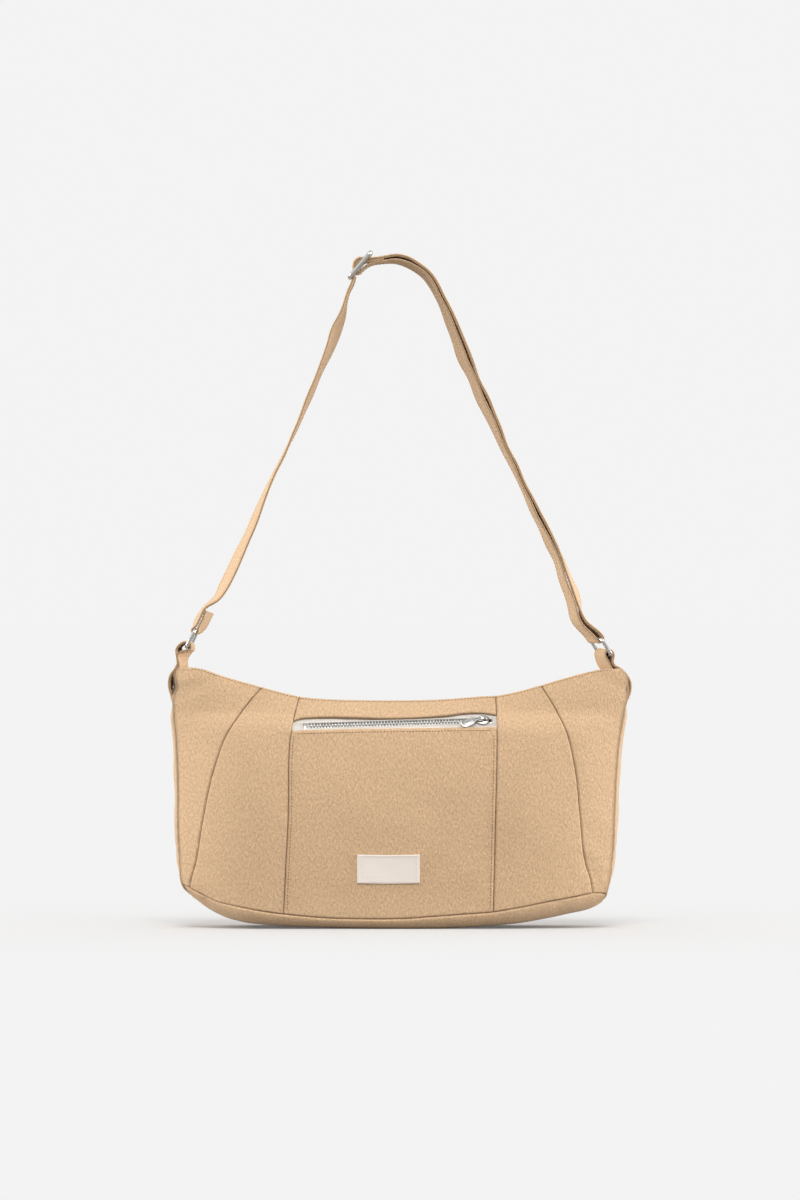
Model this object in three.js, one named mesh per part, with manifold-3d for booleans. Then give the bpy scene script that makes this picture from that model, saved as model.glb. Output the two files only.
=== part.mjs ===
// A soft canvas crossbody bag with a front zip pocket, a top zip, metal rings and an adjustable strap.
// Millimetres, +Z up. The front faces -Y, and the origin is on the floor under the middle of the bag.
import * as THREE from "three";
import { mergeVertices } from "three/addons/utils/BufferGeometryUtils.js";
import Module from "manifold-3d";

// Body sizes
const BODY_WIDTH = 364; // across the side seams at their widest
const BODY_HEIGHT = 186; // floor to the top edge, at the middle
const BODY_DEPTH = 94; // front to back, below the lean
const TOP_DEPTH = 36; // between the front and back top edges
const CORNER_RISE = 27; // how far the top edge climbs towards the side seams
const WIDEST_HEIGHT = 130;
const TOP_NARROWING = 6; // how far each side seam draws in at the top
const BOTTOM_NARROWING = 11; // how far each side seam draws in at the base
const LEAN_LENGTH = 68; // the front and back lean in over this height below the top edge
const LEAN_POWER = 2.4;
const FLAT_HALF_WIDTH = 96; // the middle of the front is straight from side to side
const ROUNDING_POWER = 2.5; // how suddenly the front turns towards the sides
const SIDE_DEPTH_BASE = 62; // gusset width at the base
const SIDE_DEPTH_TOP = 30; // gusset width at the top
const SIDE_TAPER_POWER = 1.2;
const SIDE_BULGE = 3;

// Base sizes
const REST_HALF_LENGTH = 70; // half the length of the flat that stands on the floor
const BASE_RISE = 22; // how far the ends of the base lift off the floor
const BASE_RISE_POWER = 1.6;
const BASE_CORNER_INSET = 17; // from the widest side seam to where the lift is measured
const BASE_SEAM_HEIGHT = 7; // base seam above the underside
const BASE_ROUND = 12; // rounding of the base's long edges

// Cloth and seams
const CANVAS = 1.6; // panel thickness
const LINING = 0.8;
const GAP = 0.35; // clearance between neighbouring pieces
const GUSSET_SHORT = 3; // top of the gussets below the top corners
const GUSSET_TILT = 1.15; // the end panels measure this much thicker across the gusset
const GUSSET_CORNER_CUT = 10.2; // the gusset narrows this much towards its rounded foot
const GUSSET_CORNER_START = 4; // above the base seam
const LINING_INSET = 4.5; // lining behind the outer panels
const LINING_CLEAR = 1; // between the lining and the inner face of the canvas
const LINING_TUCK = 5; // how far the lining draws in at its foot
const LINING_BELOW_ZIP = 8; // top of the lining below the top zip
const POCKET_ROOM = 11; // extra room behind the front for the pocket
const POCKET_HALF_WIDTH = 68;
const POCKET_FOOT = 46;
const POCKET_GAP = 3.4; // clear depth inside the empty pocket
const POCKET_BELOW_ZIP = 14; // the pocket bag's mouth below the zip's middle

// Straight seams, as distances from the middle at the bottom and the top
const LEFT_SEAM = { low: 94, high: 82 };
const RIGHT_SEAM = { low: 76, high: 79 };
const BACK_SEAM = { low: 85, high: 81 };

// Curved seams, from the widest side seam at the bottom and from the middle at the top
const LEFT_CURVE = { inset: 14, high: 115 };
const RIGHT_CURVE = { inset: 25, high: 118 };
const BACK_CURVE = { inset: 19, high: 117 };
const CURVE_SEAM_POWER = 2.6;
const CURVE_SEAM_FOOT = 36; // height where the curved seams start

// Label
const LABEL_WIDTH = 51;
const LABEL_HEIGHT = 23.5;
const LABEL_THICKNESS = 0.8;
const LABEL_X = -9.5;
const LABEL_Z = 49;

// Zips
const ZIP_RISE = 1.7; // degrees that the pocket zip climbs to the right
const ZIP_DROP = 17; // pocket zip below the middle of the top edge
const ZIP_WINDOW = 13; // height of the slot in the front
const TAPE_WIDTH = 11; // from the middle of the zip to the tape's edge
const TAPE = 0.8;
const TAPE_CLEAR = 1.6; // between the tape and the inner face of the panel
const TEETH_HALF = 2.9; // half the width of the closed chain
const TEETH = 2.2; // thickness of the chain
const TOP_ZIP_RECESS = 8; // top zip below the top edges
const TOP_TAPE_MARGIN = 0.6; // between the top tapes and the panels
const TOP_ZIP_MARGIN = 24; // from each end of the top zip to the top corner
const TOP_TAPE_TILT = 1.25; // the leaning panels measure this much thicker across the top
const POCKET_ZIP_INSET = { left: 4, right: 3 }; // from the pocket panel's seams
const SLIDER_LENGTH = 10;
const SLIDER_WIDTH = 8.4;
const SLIDER_TAIL = { length: 4, width: 5.2 };
const SLIDER_NOSE = { length: 2.5, width: 5.9 };
const SLIDER_POST = { length: 2.4, width: 2, setback: 0.6 };
const SLIDER_PLATE = 1.2;
const SLIDER_MOUTH = 3; // clear height between the two plates
const BRIDGE_LENGTH = 7.5;
const BRIDGE_WIDTH = 2;
const BRIDGE_WALL = 0.9;
const BRIDGE_SLOPE = 0.6;
const PULLER_LENGTH = 24;
const PULLER_WIDTH = 6.5;
const PULLER = 1.1;
const PULLER_LIFT = 0.45; // middle of the puller above the panel's outer face
const PULLER_NECK = 5.4; // from the hinge to the neck that joins the two arms
const PULLER_ARM = 1;
const PULLER_PIN = 1.3; // diameter
const PULLER_SHOULDER = { length: 2.5, width: 3.9 };
const PULLER_CORNER = 1;
const PULLER_SLOT = { from: 2.2, length: 2.2, wall: 1.8 };
const PULLER_DROOP = 27; // degrees that the pocket puller hangs below the zip
const STOP_LENGTH = 3;
const TOP_STOP_WIDTH = 1.6;
const OVERLAP = 0.2; // how far the pieces of one casting reach into each other

// Strap and hardware
const STRAP_WIDTH = 25;
const STRAP = 2.2; // thickness
const WIRE = 2.9; // diameter of the rings' and the adjuster's wire
const WIRE_SIDES = 10;
const RING_LENGTH = 16; // between the middles of the two long bars
const RING_PLAY = 1; // between the strap's edge and the ring's side
const RING_BEND = 3.5;
const LEFT_RING = { inset: 4.8, lift: 23.6, lean: 62.5 };
const RIGHT_RING = { inset: 7, lift: 16.5, lean: 58 };
const ADJUSTER_LENGTH = 26; // between the middles of the two end bars
const ADJUSTER_BEND = 3;
const ADJUSTER_LEAN = 50; // degrees
const ADJUSTER_SHARE = -0.19; // sideways place of the adjuster, as a share of the left ring's distance
const ADJUSTER_LIFT = 306; // middle of the adjuster above the left ring
const TAB = 2; // thickness of the canvas tabs
const TAB_DROP = 33; // sewn length of the tabs below the top of the gusset
const TAB_SWELL = 1.5; // how far the tab's outer layer stands off at its middle
const STRAP_STEP = 9; // spacing of the sections along the strap
const STRAP_TWIST = 20; // degrees that the left leg twists each way
const LEFT_TAIL = 20; // length of the strap's fold sewn at the left ring
const FOLD_PINCH = 0.85; // half width of that fold half way up, in strap turns
const FOLD_END = 0.6; // half width of that fold at its end, in layers

// Worked-out sizes
const HALF_WIDTH = BODY_WIDTH / 2;
const TOP_HALF_WIDTH = HALF_WIDTH - TOP_NARROWING;
const SADDLE_RADIUS = (TOP_HALF_WIDTH ** 2 + CORNER_RISE ** 2) / (2 * CORNER_RISE);
const CORNER_HEIGHT = BODY_HEIGHT + CORNER_RISE;
const BASE_CORNER_HEIGHT = BASE_RISE + BASE_SEAM_HEIGHT;
const LEAN_START = BODY_HEIGHT - LEAN_LENGTH;
const ZIP_HEIGHT = BODY_HEIGHT - ZIP_DROP;
const TOP_ZIP_HALF_LENGTH = TOP_HALF_WIDTH - TOP_ZIP_MARGIN;
const BAND_HEIGHT = ZIP_HEIGHT + ZIP_WINDOW / 2;
const TAPE_DEPTH = CANVAS + TAPE_CLEAR; // outer face of the tape behind the outer face of the panel
const ACROSS_STRAP = STRAP_WIDTH + 2 * RING_PLAY + WIRE; // between the middles of the hardware's sides

const wasm = await Module();
wasm.setup();

// Materials
const canvasMaterial = () =>
  new THREE.MeshStandardMaterial({ color: 0xd9b489, roughness: 0.92, metalness: 0 });
const liningMaterial = () =>
  new THREE.MeshStandardMaterial({ color: 0xe6d8c2, roughness: 0.95, metalness: 0 });
const tapeMaterial = () =>
  new THREE.MeshStandardMaterial({ color: 0xf4f1ea, roughness: 0.9, metalness: 0 });
const labelMaterial = () =>
  new THREE.MeshStandardMaterial({ color: 0xf1e4d8, roughness: 0.85, metalness: 0 });
const metalMaterial = () =>
  new THREE.MeshStandardMaterial({ color: 0xc9c9c9, roughness: 0.2, metalness: 1 });

const bag = new THREE.Group();

function addPiece(name, geometry, material, parent = bag) {
  const mesh = new THREE.Mesh(geometry, material);
  mesh.name = name;
  parent.add(mesh);
  return mesh;
}

// Mesh counts
const PANEL_ROWS = 10;
const POCKET_ROWS = 14;
const BAND_ROWS = 3;
const CENTRE_COLUMNS = 4;
const BAND_COLUMNS = 6;
const SIDE_COLUMNS = 4;
const END_COLUMNS = 3;
const BEND_STEPS = 4;
const TURN_STEPS = 7;
const SEAM_PASSES = 8; // rounds in which a point on a slanted seam settles

// Geometry helpers

const radians = THREE.MathUtils.degToRad;
const lerp = THREE.MathUtils.lerp;
const clamp = THREE.MathUtils.clamp;
const steps = (low, high, count) =>
  Array.from({ length: count + 1 }, (_, i) => lerp(low, high, i / count));

// A closed solid from points and triangles, turned so that its faces point out.
function closedSolid(points, triangles) {
  let volume = 0;
  const cross = new THREE.Vector3();
  for (const [a, b, c] of triangles) {
    volume += points[a].dot(cross.crossVectors(points[b], points[c]));
  }
  const index = triangles.flatMap(([a, b, c]) => (volume < 0 ? [a, c, b] : [a, b, c]));
  const geometry = new THREE.BufferGeometry().setFromPoints(points);
  geometry.setIndex(index);
  geometry.computeVertexNormals();
  return geometry;
}

// Two triangles for the four-sided face a, b, c, d.
const quad = (a, b, c, d) => [
  [a, b, c],
  [a, c, d],
];

// A sheet of cloth: the outer face follows surface(u, v), and the inner face lies one thickness behind it.
// outward(point) is a direction on the outer side of the surface there.
function sheet(us, vs, surface, thickness, outward) {
  const tiny = 1e-3;
  const outer = [];
  const inner = [];
  for (const u of us) {
    for (const v of vs) {
      const alongU = surface(u + tiny, v).sub(surface(u - tiny, v));
      const alongV = surface(u, v + tiny).sub(surface(u, v - tiny));
      const normal = alongU.cross(alongV).normalize();
      const point = surface(u, v);
      if (normal.dot(outward(point)) < 0) normal.negate();
      outer.push(point);
      inner.push(point.clone().addScaledVector(normal, -thickness));
    }
  }
  const rows = us.length;
  const columns = vs.length;
  const back = rows * columns;
  const at = (i, j) => i * columns + j;
  const triangles = [];
  for (let i = 0; i + 1 < rows; i++) {
    for (let j = 0; j + 1 < columns; j++) {
      triangles.push(...quad(at(i, j), at(i + 1, j), at(i + 1, j + 1), at(i, j + 1)));
      triangles.push(
        ...quad(back + at(i, j), back + at(i, j + 1), back + at(i + 1, j + 1), back + at(i + 1, j)),
      );
    }
  }
  const rim = [];
  for (let i = 0; i < rows; i++) rim.push(at(i, 0));
  for (let j = 1; j < columns; j++) rim.push(at(rows - 1, j));
  for (let i = rows - 2; i >= 0; i--) rim.push(at(i, columns - 1));
  for (let j = columns - 2; j > 0; j--) rim.push(at(0, j));
  rim.forEach((a, k) => {
    const b = rim[(k + 1) % rim.length];
    triangles.push(...quad(b, a, back + a, back + b));
  });
  return closedSolid([...outer, ...inner], triangles);
}

// Sections with the same number of corners joined in order, with capped ends or closed into a loop.
function skin(sections, looped = false) {
  const corners = sections[0].length;
  const points = sections.flat();
  const triangles = [];
  const joins = looped ? sections.length : sections.length - 1;
  for (let i = 0; i < joins; i++) {
    const here = i * corners;
    const next = ((i + 1) % sections.length) * corners;
    for (let k = 0; k < corners; k++) {
      const l = (k + 1) % corners;
      triangles.push(...quad(here + k, here + l, next + l, next + k));
    }
  }
  if (!looped) {
    const last = (sections.length - 1) * corners;
    for (let k = 1; k + 1 < corners; k++) {
      triangles.push([0, k + 1, k], [last, last + k, last + k + 1]);
    }
  }
  return closedSolid(points, triangles);
}

// A flat strip that follows a route in the XZ plane, lies across Y, and may twist with its height.
function ribbon(route, width, thickness, twist = () => 0) {
  const curve = new THREE.CatmullRomCurve3(
    route.map(([x, z]) => new THREE.Vector3(x, 0, z)),
    false,
    "centripetal",
  );
  const count = Math.max(8, Math.round(curve.getLength() / STRAP_STEP));
  const stops = steps(0, 1, Math.max(count, route.length * 2));
  const across = new THREE.Vector3(0, 1, 0);
  const sections = stops.map((t) => {
    const middle = curve.getPoint(t);
    const tangent = curve.getTangent(t);
    const face = new THREE.Vector3().crossVectors(tangent, across).normalize();
    const angle = radians(twist(middle.z));
    const wide = across.clone().multiplyScalar(Math.cos(angle)).addScaledVector(face, Math.sin(angle));
    const deep = new THREE.Vector3().crossVectors(tangent, wide).normalize();
    const corner = (w, d) =>
      middle.clone().addScaledVector(wide, (w * width) / 2).addScaledVector(deep, (d * thickness) / 2);
    return [corner(-1, -1), corner(1, -1), corner(1, 1), corner(-1, 1)];
  });
  return skin(sections);
}

// A wire of round section bent into a rounded rectangle, in the XY plane.
function wireFrame(lengthX, lengthY, wire, bend) {
  const path = [];
  const corners = [
    [1, 1, 0],
    [-1, 1, 90],
    [-1, -1, 180],
    [1, -1, 270],
  ];
  for (const [sx, sy, start] of corners) {
    for (const turn of steps(0, 90, BEND_STEPS)) {
      const angle = radians(start + turn);
      path.push({
        x: sx * (lengthX / 2 - bend) + bend * Math.cos(angle),
        y: sy * (lengthY / 2 - bend) + bend * Math.sin(angle),
        angle,
      });
    }
  }
  const sections = path.map(({ x, y, angle }) =>
    steps(0, 360, WIRE_SIDES)
      .slice(0, -1)
      .map((turn) => {
        const out = (wire / 2) * Math.cos(radians(turn));
        const up = (wire / 2) * Math.sin(radians(turn));
        return new THREE.Vector3(x + out * Math.cos(angle), y + out * Math.sin(angle), up);
      }),
  );
  return skin(sections, true);
}

// Joins closed geometries into one solid.
function joined(geometries) {
  const solids = geometries.map((geometry) => {
    const bare = geometry.clone();
    bare.deleteAttribute("normal");
    bare.deleteAttribute("uv");
    const merged = mergeVertices(bare, 1e-4);
    return new wasm.Manifold(
      new wasm.Mesh({
        numProp: 3,
        vertProperties: new Float32Array(merged.attributes.position.array),
        triVerts: new Uint32Array(merged.index.array),
      }),
    );
  });
  const mesh = solids.reduce((sum, solid) => sum.add(solid)).getMesh();
  const geometry = new THREE.BufferGeometry();
  geometry.setAttribute("position", new THREE.BufferAttribute(mesh.vertProperties, 3));
  geometry.setIndex(new THREE.BufferAttribute(mesh.triVerts, 1));
  geometry.computeVertexNormals();
  return geometry;
}

// A block between two corners.
function block(low, high) {
  const size = high.map((value, i) => value - low[i]);
  const geometry = new THREE.BoxGeometry(...size);
  return geometry.translate(...low.map((value, i) => value + size[i] / 2));
}

// A whole outline from the half that lies on the +Y side of the X axis.
const mirrored = (half) => [...half.map(([x, y]) => [x, -y]), ...half.toReversed()];

// A flat plate whose outline lies in the XY plane, from height low to height high.
function plate(outline, low, high, holes = []) {
  const shape = new THREE.Shape(outline.map(([x, y]) => new THREE.Vector2(x, y)));
  shape.holes = holes.map((hole) => new THREE.Path(hole.map(([x, y]) => new THREE.Vector2(x, y))));
  const geometry = new THREE.ExtrudeGeometry(shape, { depth: high - low, bevelEnabled: false });
  return geometry.translate(0, 0, low);
}

// Shape of the body

const topEdge = (x) => BODY_HEIGHT + SADDLE_RADIUS - Math.sqrt(SADDLE_RADIUS ** 2 - x ** 2);

function halfWidth(z) {
  const above = (z - WIDEST_HEIGHT) / (CORNER_HEIGHT - WIDEST_HEIGHT);
  const below = (WIDEST_HEIGHT - z) / (WIDEST_HEIGHT - BASE_CORNER_HEIGHT);
  return z > WIDEST_HEIGHT
    ? HALF_WIDTH - TOP_NARROWING * above ** 2
    : HALF_WIDTH - BOTTOM_NARROWING * below ** 2;
}

function underside(x) {
  const lifted = HALF_WIDTH - BASE_CORNER_INSET - REST_HALF_LENGTH;
  const reach = Math.max(0, (Math.abs(x) - REST_HALF_LENGTH) / lifted);
  return BASE_RISE * reach ** BASE_RISE_POWER;
}

const baseSeam = (x) => underside(x) + BASE_SEAM_HEIGHT;

function leaningHalfDepth(z) {
  const lean = Math.max(0, (z - LEAN_START) / (BODY_HEIGHT - LEAN_START));
  return BODY_DEPTH / 2 - ((BODY_DEPTH - TOP_DEPTH) / 2) * lean ** LEAN_POWER;
}

function sideHalfDepth(z) {
  const climb = Math.max(0, (z - BASE_RISE) / (CORNER_HEIGHT - BASE_RISE));
  return lerp(SIDE_DEPTH_BASE, SIDE_DEPTH_TOP, climb ** SIDE_TAPER_POWER) / 2;
}

// How far the front has turned towards the side seam: 0 in the flat middle and 1 at the seam.
function turning(x, z) {
  const share = clamp((Math.abs(x) - FLAT_HALF_WIDTH) / (halfWidth(z) - FLAT_HALF_WIDTH), 0, 1);
  return share ** ROUNDING_POWER;
}

function halfDepth(x, z) {
  const above = Math.max(0, (z - BAND_HEIGHT) / (topEdge(x) - BAND_HEIGHT));
  const opened = (TOP_DEPTH / 2 - leaningHalfDepth(topEdge(x))) * above ** 2;
  return lerp(leaningHalfDepth(z) + opened, sideHalfDepth(z), turning(x, z));
}

// Panels of the front and the back

const straightSeam = ({ low, high }) => (z) => lerp(low, high, z / BODY_HEIGHT);

function curvedSeam({ inset, high }) {
  const low = HALF_WIDTH - inset;
  const top = topEdge(high);
  return (z) => {
    const climb = Math.max(0, (z - CURVE_SEAM_FOOT) / (top - CURVE_SEAM_FOOT));
    return low - (low - high) * climb ** CURVE_SEAM_POWER;
  };
}

const sideSeam = (z) => halfWidth(z) - GAP / 2;
const zipLine = (x) => ZIP_HEIGHT + x * Math.tan(radians(ZIP_RISE));
const zipLean = Math.atan(
  ((LEAN_POWER * (BODY_DEPTH - TOP_DEPTH)) / 2 / (BODY_HEIGHT - LEAN_START)) *
    ((ZIP_HEIGHT - LEAN_START) / (BODY_HEIGHT - LEAN_START)) ** (LEAN_POWER - 1),
);
const windowHalf = (ZIP_WINDOW / 2) * Math.cos(zipLean);

// A panel between two seams, given as signed distances from the middle, and two heights.
function panel(facing, seamA, seamB, low, high, columns, rows) {
  const surface = (u, v) => {
    let x = lerp(seamA(BODY_HEIGHT / 2), seamB(BODY_HEIGHT / 2), u);
    let z = 0;
    for (let pass = 0; pass < SEAM_PASSES; pass++) {
      z = lerp(low(x), high(x), v);
      x = lerp(seamA(z) + GAP / 2, seamB(z) - GAP / 2, u);
    }
    return new THREE.Vector3(x, facing * halfDepth(x, z), z);
  };
  const outward = () => new THREE.Vector3(0, facing, 0);
  return sheet(steps(0, 1, columns), steps(0, 1, rows), surface, CANVAS, outward);
}

const negative = (seam) => (z) => -seam(z);
const lowEdge = (x) => baseSeam(x) + GAP / 2;

function makePanels(facing, name, left, right, leftCurve, rightCurve) {
  const leftOf = negative(curvedSeam(leftCurve));
  const rightOf = curvedSeam(rightCurve);
  const middleLeft = negative(straightSeam(left));
  const middleRight = straightSeam(right);
  const sew = (part, a, b, columns) =>
    addPiece(`${name}_${part}`, panel(facing, a, b, lowEdge, topEdge, columns, PANEL_ROWS), canvasMaterial());
  sew("left_panel", leftOf, middleLeft, SIDE_COLUMNS);
  sew("right_panel", middleRight, rightOf, SIDE_COLUMNS);
  sew("left_end_panel", negative(sideSeam), leftOf, END_COLUMNS);
  sew("right_end_panel", rightOf, sideSeam, END_COLUMNS);
  return [middleLeft, middleRight];
}

const [pocketLeft, pocketRight] = makePanels(-1, "front", LEFT_SEAM, RIGHT_SEAM, LEFT_CURVE, RIGHT_CURVE);
const [backLeft, backRight] = makePanels(1, "back", BACK_SEAM, BACK_SEAM, BACK_CURVE, BACK_CURVE);

addPiece(
  "back_centre_panel",
  panel(1, backLeft, backRight, lowEdge, topEdge, CENTRE_COLUMNS, PANEL_ROWS),
  canvasMaterial(),
);
addPiece(
  "front_pocket_panel",
  panel(-1, pocketLeft, pocketRight, lowEdge, (x) => zipLine(x) - windowHalf, CENTRE_COLUMNS, POCKET_ROWS),
  canvasMaterial(),
);
addPiece(
  "front_top_band",
  panel(-1, pocketLeft, pocketRight, (x) => zipLine(x) + windowHalf, topEdge, BAND_COLUMNS, BAND_ROWS),
  canvasMaterial(),
);

// Base, with a flat that stands on the floor and ends that lift like a boat's

function makeBase() {
  const end = halfWidth(BASE_RISE) - CANVAS - 2 * GAP;
  const surface = (x, v) => {
    const seam = baseSeam(x) - GAP / 2;
    const low = underside(x);
    const half = halfDepth(x, seam);
    const side = Math.sign(v) || 1;
    const bend = Math.max(0, Math.abs(v) - 1);
    const flat = half - BASE_ROUND;
    const y = bend > 0 ? flat + BASE_ROUND * Math.sin((bend * Math.PI) / 2) : flat * Math.abs(v);
    const z = bend > 0 ? low + (seam - low) * (1 - Math.cos((bend * Math.PI) / 2)) : low;
    return new THREE.Vector3(x, side * y, z);
  };
  const along = [
    ...steps(-end, -REST_HALF_LENGTH, 5),
    ...steps(-REST_HALF_LENGTH, REST_HALF_LENGTH, 2).slice(1, -1),
    ...steps(REST_HALF_LENGTH, end, 5),
  ];
  const round = steps(1, 2, 4);
  const across = [...round.map((v) => -v).reverse(), 0, ...round];
  const outward = (point) => new THREE.Vector3(0, point.y, -BASE_ROUND);
  return sheet(along, across, surface, CANVAS, outward);
}
addPiece("base_panel", makeBase(), canvasMaterial());

// Side gussets, tucked between the front and the back

const GUSSET_TUCK = CANVAS * GUSSET_TILT + GAP;
const GUSSET_FOOT = underside(halfWidth(BASE_RISE)) + CANVAS + GAP;
const GUSSET_TOP = CORNER_HEIGHT - GUSSET_SHORT;

function gussetHalf(z) {
  const shoulder = baseSeam(halfWidth(BASE_RISE)) + GUSSET_CORNER_START;
  const tight = Math.max(0, (shoulder - z) / (shoulder - GUSSET_FOOT));
  return sideHalfDepth(z) - GUSSET_TUCK - GUSSET_CORNER_CUT * tight ** 2;
}

const gussetFace = (v, z) => halfWidth(z) + SIDE_BULGE * (1 - v * v) - GAP;

function makeGusset(side) {
  const surface = (v, z) => new THREE.Vector3(side * gussetFace(v, z), v * gussetHalf(z), z);
  const heights = steps(GUSSET_FOOT, GUSSET_TOP, 10);
  return sheet(steps(-1, 1, 4), heights, surface, CANVAS, () => new THREE.Vector3(side, 0, 0));
}
addPiece("left_side_gusset", makeGusset(-1), canvasMaterial());
addPiece("right_side_gusset", makeGusset(1), canvasMaterial());

// Label, sewn to the pocket panel

function makeLabel() {
  const surface = (x, z) =>
    new THREE.Vector3(x, -halfDepth(x, z) - GAP - LABEL_THICKNESS, z);
  const along = steps(LABEL_X - LABEL_WIDTH / 2, LABEL_X + LABEL_WIDTH / 2, 2);
  const up = steps(LABEL_Z - LABEL_HEIGHT / 2, LABEL_Z + LABEL_HEIGHT / 2, 3);
  return sheet(along, up, surface, LABEL_THICKNESS, () => new THREE.Vector3(0, -1, 0));
}
addPiece("label", makeLabel(), labelMaterial());

// A pouch that is open at the top. point(side, k, v, inset) gives its walls, side -1 at the front.
function pouch(columns, rows, wall, point) {
  const ring = (v, inset) => [
    ...steps(-1, 1, columns).map((k) => point(-1, k, v, inset)),
    ...steps(1, -1, columns).map((k) => point(1, k, v, inset)),
  ];
  const levels = steps(0, 1, rows);
  const rings = [...levels.map((v) => ring(v, 0)).reverse(), ...levels.map((v) => ring(v, wall))];
  const around = rings[0].length;
  const triangles = [];
  const floorOf = (start, flip) => {
    for (let k = 0; k < columns; k++) {
      const far = around - 1 - k;
      const corners = [start + k, start + k + 1, start + far - 1, start + far];
      triangles.push(...quad(...(flip ? corners.reverse() : corners)));
    }
  };
  rings.forEach((_, i) => {
    const outerFoot = i === levels.length - 1;
    const next = (i + 1) % rings.length;
    if (outerFoot) return;
    for (let k = 0; k < around; k++) {
      const l = (k + 1) % around;
      triangles.push(
        ...quad(i * around + k, i * around + l, next * around + l, next * around + k),
      );
    }
  });
  floorOf((levels.length - 1) * around, false);
  floorOf(levels.length * around, true);
  return closedSolid(rings.flat(), triangles);
}

const LINING_TOP = TOP_ZIP_RECESS + LINING_BELOW_ZIP; // the lining ends this far below the top edge

function liningPoint(side, k, v, inset) {
  const low = (x) => underside(x) + CANVAS + LINING_CLEAR + inset;
  const high = (x) => topEdge(x) - LINING_TOP;
  let x = 0;
  let z = 0;
  for (let pass = 0; pass < SEAM_PASSES; pass++) {
    z = lerp(low(x), high(x), v);
    x = k * (halfWidth(z) - LINING_INSET - SIDE_BULGE - inset);
  }
  const room = side < 0 ? POCKET_ROOM * (1 - turning(x, z)) : 0;
  const tuck = LINING_TUCK * (1 - v) ** 3;
  return new THREE.Vector3(x, side * (halfDepth(x, z) - LINING_INSET - room - tuck - inset), z);
}
addPiece("main_lining", pouch(14, 6, LINING, liningPoint), liningMaterial());

function pocketPoint(side, k, v, inset) {
  const front = CANVAS + LINING_CLEAR;
  const back = front + POCKET_GAP + 2 * LINING;
  const z = lerp(POCKET_FOOT + inset, ZIP_HEIGHT - POCKET_BELOW_ZIP, v);
  const x = k * (POCKET_HALF_WIDTH - inset);
  const behind = side < 0 ? front + inset : back - inset;
  return new THREE.Vector3(x, -leaningHalfDepth(z) + behind, z);
}
addPiece("pocket_bag", pouch(4, 8, LINING, pocketPoint), liningMaterial());

// Zips. A zip is a place function: s along the zip, v across it, n out of the bag.

function makePocketZip() {
  const climb = Math.tan(radians(ZIP_RISE));
  const along = new THREE.Vector3(1, Math.tan(zipLean) * climb, climb).normalize();
  const middle = new THREE.Vector3(0, -leaningHalfDepth(ZIP_HEIGHT), ZIP_HEIGHT);
  const up = new THREE.Vector3(0, Math.sin(zipLean), Math.cos(zipLean));
  const out = new THREE.Vector3().crossVectors(along, up).normalize();
  const across = new THREE.Vector3().crossVectors(out, along);
  const frameAt = (s) => {
    const place = middle.clone().addScaledVector(along, s);
    return new THREE.Matrix4().makeBasis(along, across, out).setPosition(place);
  };
  return { frameAt };
}

function makeTopZip() {
  const radius = SADDLE_RADIUS + TOP_ZIP_RECESS;
  const centre = BODY_HEIGHT + SADDLE_RADIUS;
  const frameAt = (s) => {
    const angle = s / radius;
    const along = new THREE.Vector3(Math.cos(angle), 0, Math.sin(angle));
    const out = new THREE.Vector3(-Math.sin(angle), 0, Math.cos(angle));
    const across = new THREE.Vector3(0, 1, 0);
    const place = new THREE.Vector3(radius * Math.sin(angle), 0, centre - radius * Math.cos(angle));
    return new THREE.Matrix4().makeBasis(along, across, out).setPosition(place);
  };
  return { frameAt };
}

// A strip along a zip, from v0 to v1 across and n0 to n1 out. v0 and v1 may change along the zip.
function zipStrip(zip, stations, v0, v1, n0, n1) {
  const sections = stations.map((s) => {
    const frame = zip.frameAt(s);
    const corner = (v, n) => new THREE.Vector3(0, v, n).applyMatrix4(frame);
    return [corner(v0(s), n0), corner(v1(s), n0), corner(v1(s), n1), corner(v0(s), n1)];
  });
  return skin(sections);
}

const CHAIN_MIDDLE = -TAPE_DEPTH - TAPE / 2;
const always = (value) => () => value;

// The slider: two plates joined by a post at its leading end, with a bridge for the puller.
function sliderGeometry() {
  const nose = SLIDER_LENGTH / 2;
  const halfOutline = [
    [-nose, SLIDER_TAIL.width / 2],
    [-nose + SLIDER_TAIL.length, SLIDER_TAIL.width / 2],
    [nose - SLIDER_NOSE.length, SLIDER_WIDTH / 2],
    [nose, SLIDER_NOSE.width / 2],
  ];
  const outline = mirrored(halfOutline);
  const top = CHAIN_MIDDLE + SLIDER_MOUTH / 2;
  const bottom = CHAIN_MIDDLE - SLIDER_MOUTH / 2;
  const deck = top + SLIDER_PLATE;
  const bridgeEnd = BRIDGE_LENGTH / 2;
  const crown = deck + 2 * (PULLER_LIFT - deck) - OVERLAP + BRIDGE_WALL;
  const foot = deck - OVERLAP;
  const arch = [
    [-bridgeEnd, foot],
    [-bridgeEnd + BRIDGE_WALL, foot],
    [-bridgeEnd + BRIDGE_WALL + BRIDGE_SLOPE, crown - BRIDGE_WALL],
    [bridgeEnd - BRIDGE_WALL - BRIDGE_SLOPE, crown - BRIDGE_WALL],
    [bridgeEnd - BRIDGE_WALL, foot],
    [bridgeEnd, foot],
    [bridgeEnd - BRIDGE_SLOPE, crown],
    [-bridgeEnd + BRIDGE_SLOPE, crown],
  ];
  const bridge = plate(arch, -BRIDGE_WIDTH / 2, BRIDGE_WIDTH / 2).rotateX(Math.PI / 2);
  const postFront = nose - SLIDER_POST.setback;
  const post = block(
    [postFront - SLIDER_POST.length, -SLIDER_POST.width / 2, bottom - OVERLAP],
    [postFront, SLIDER_POST.width / 2, top + OVERLAP],
  );
  return joined([
    plate(outline, top, deck),
    plate(outline, bottom - SLIDER_PLATE, bottom),
    post,
    bridge,
  ]);
}

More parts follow.
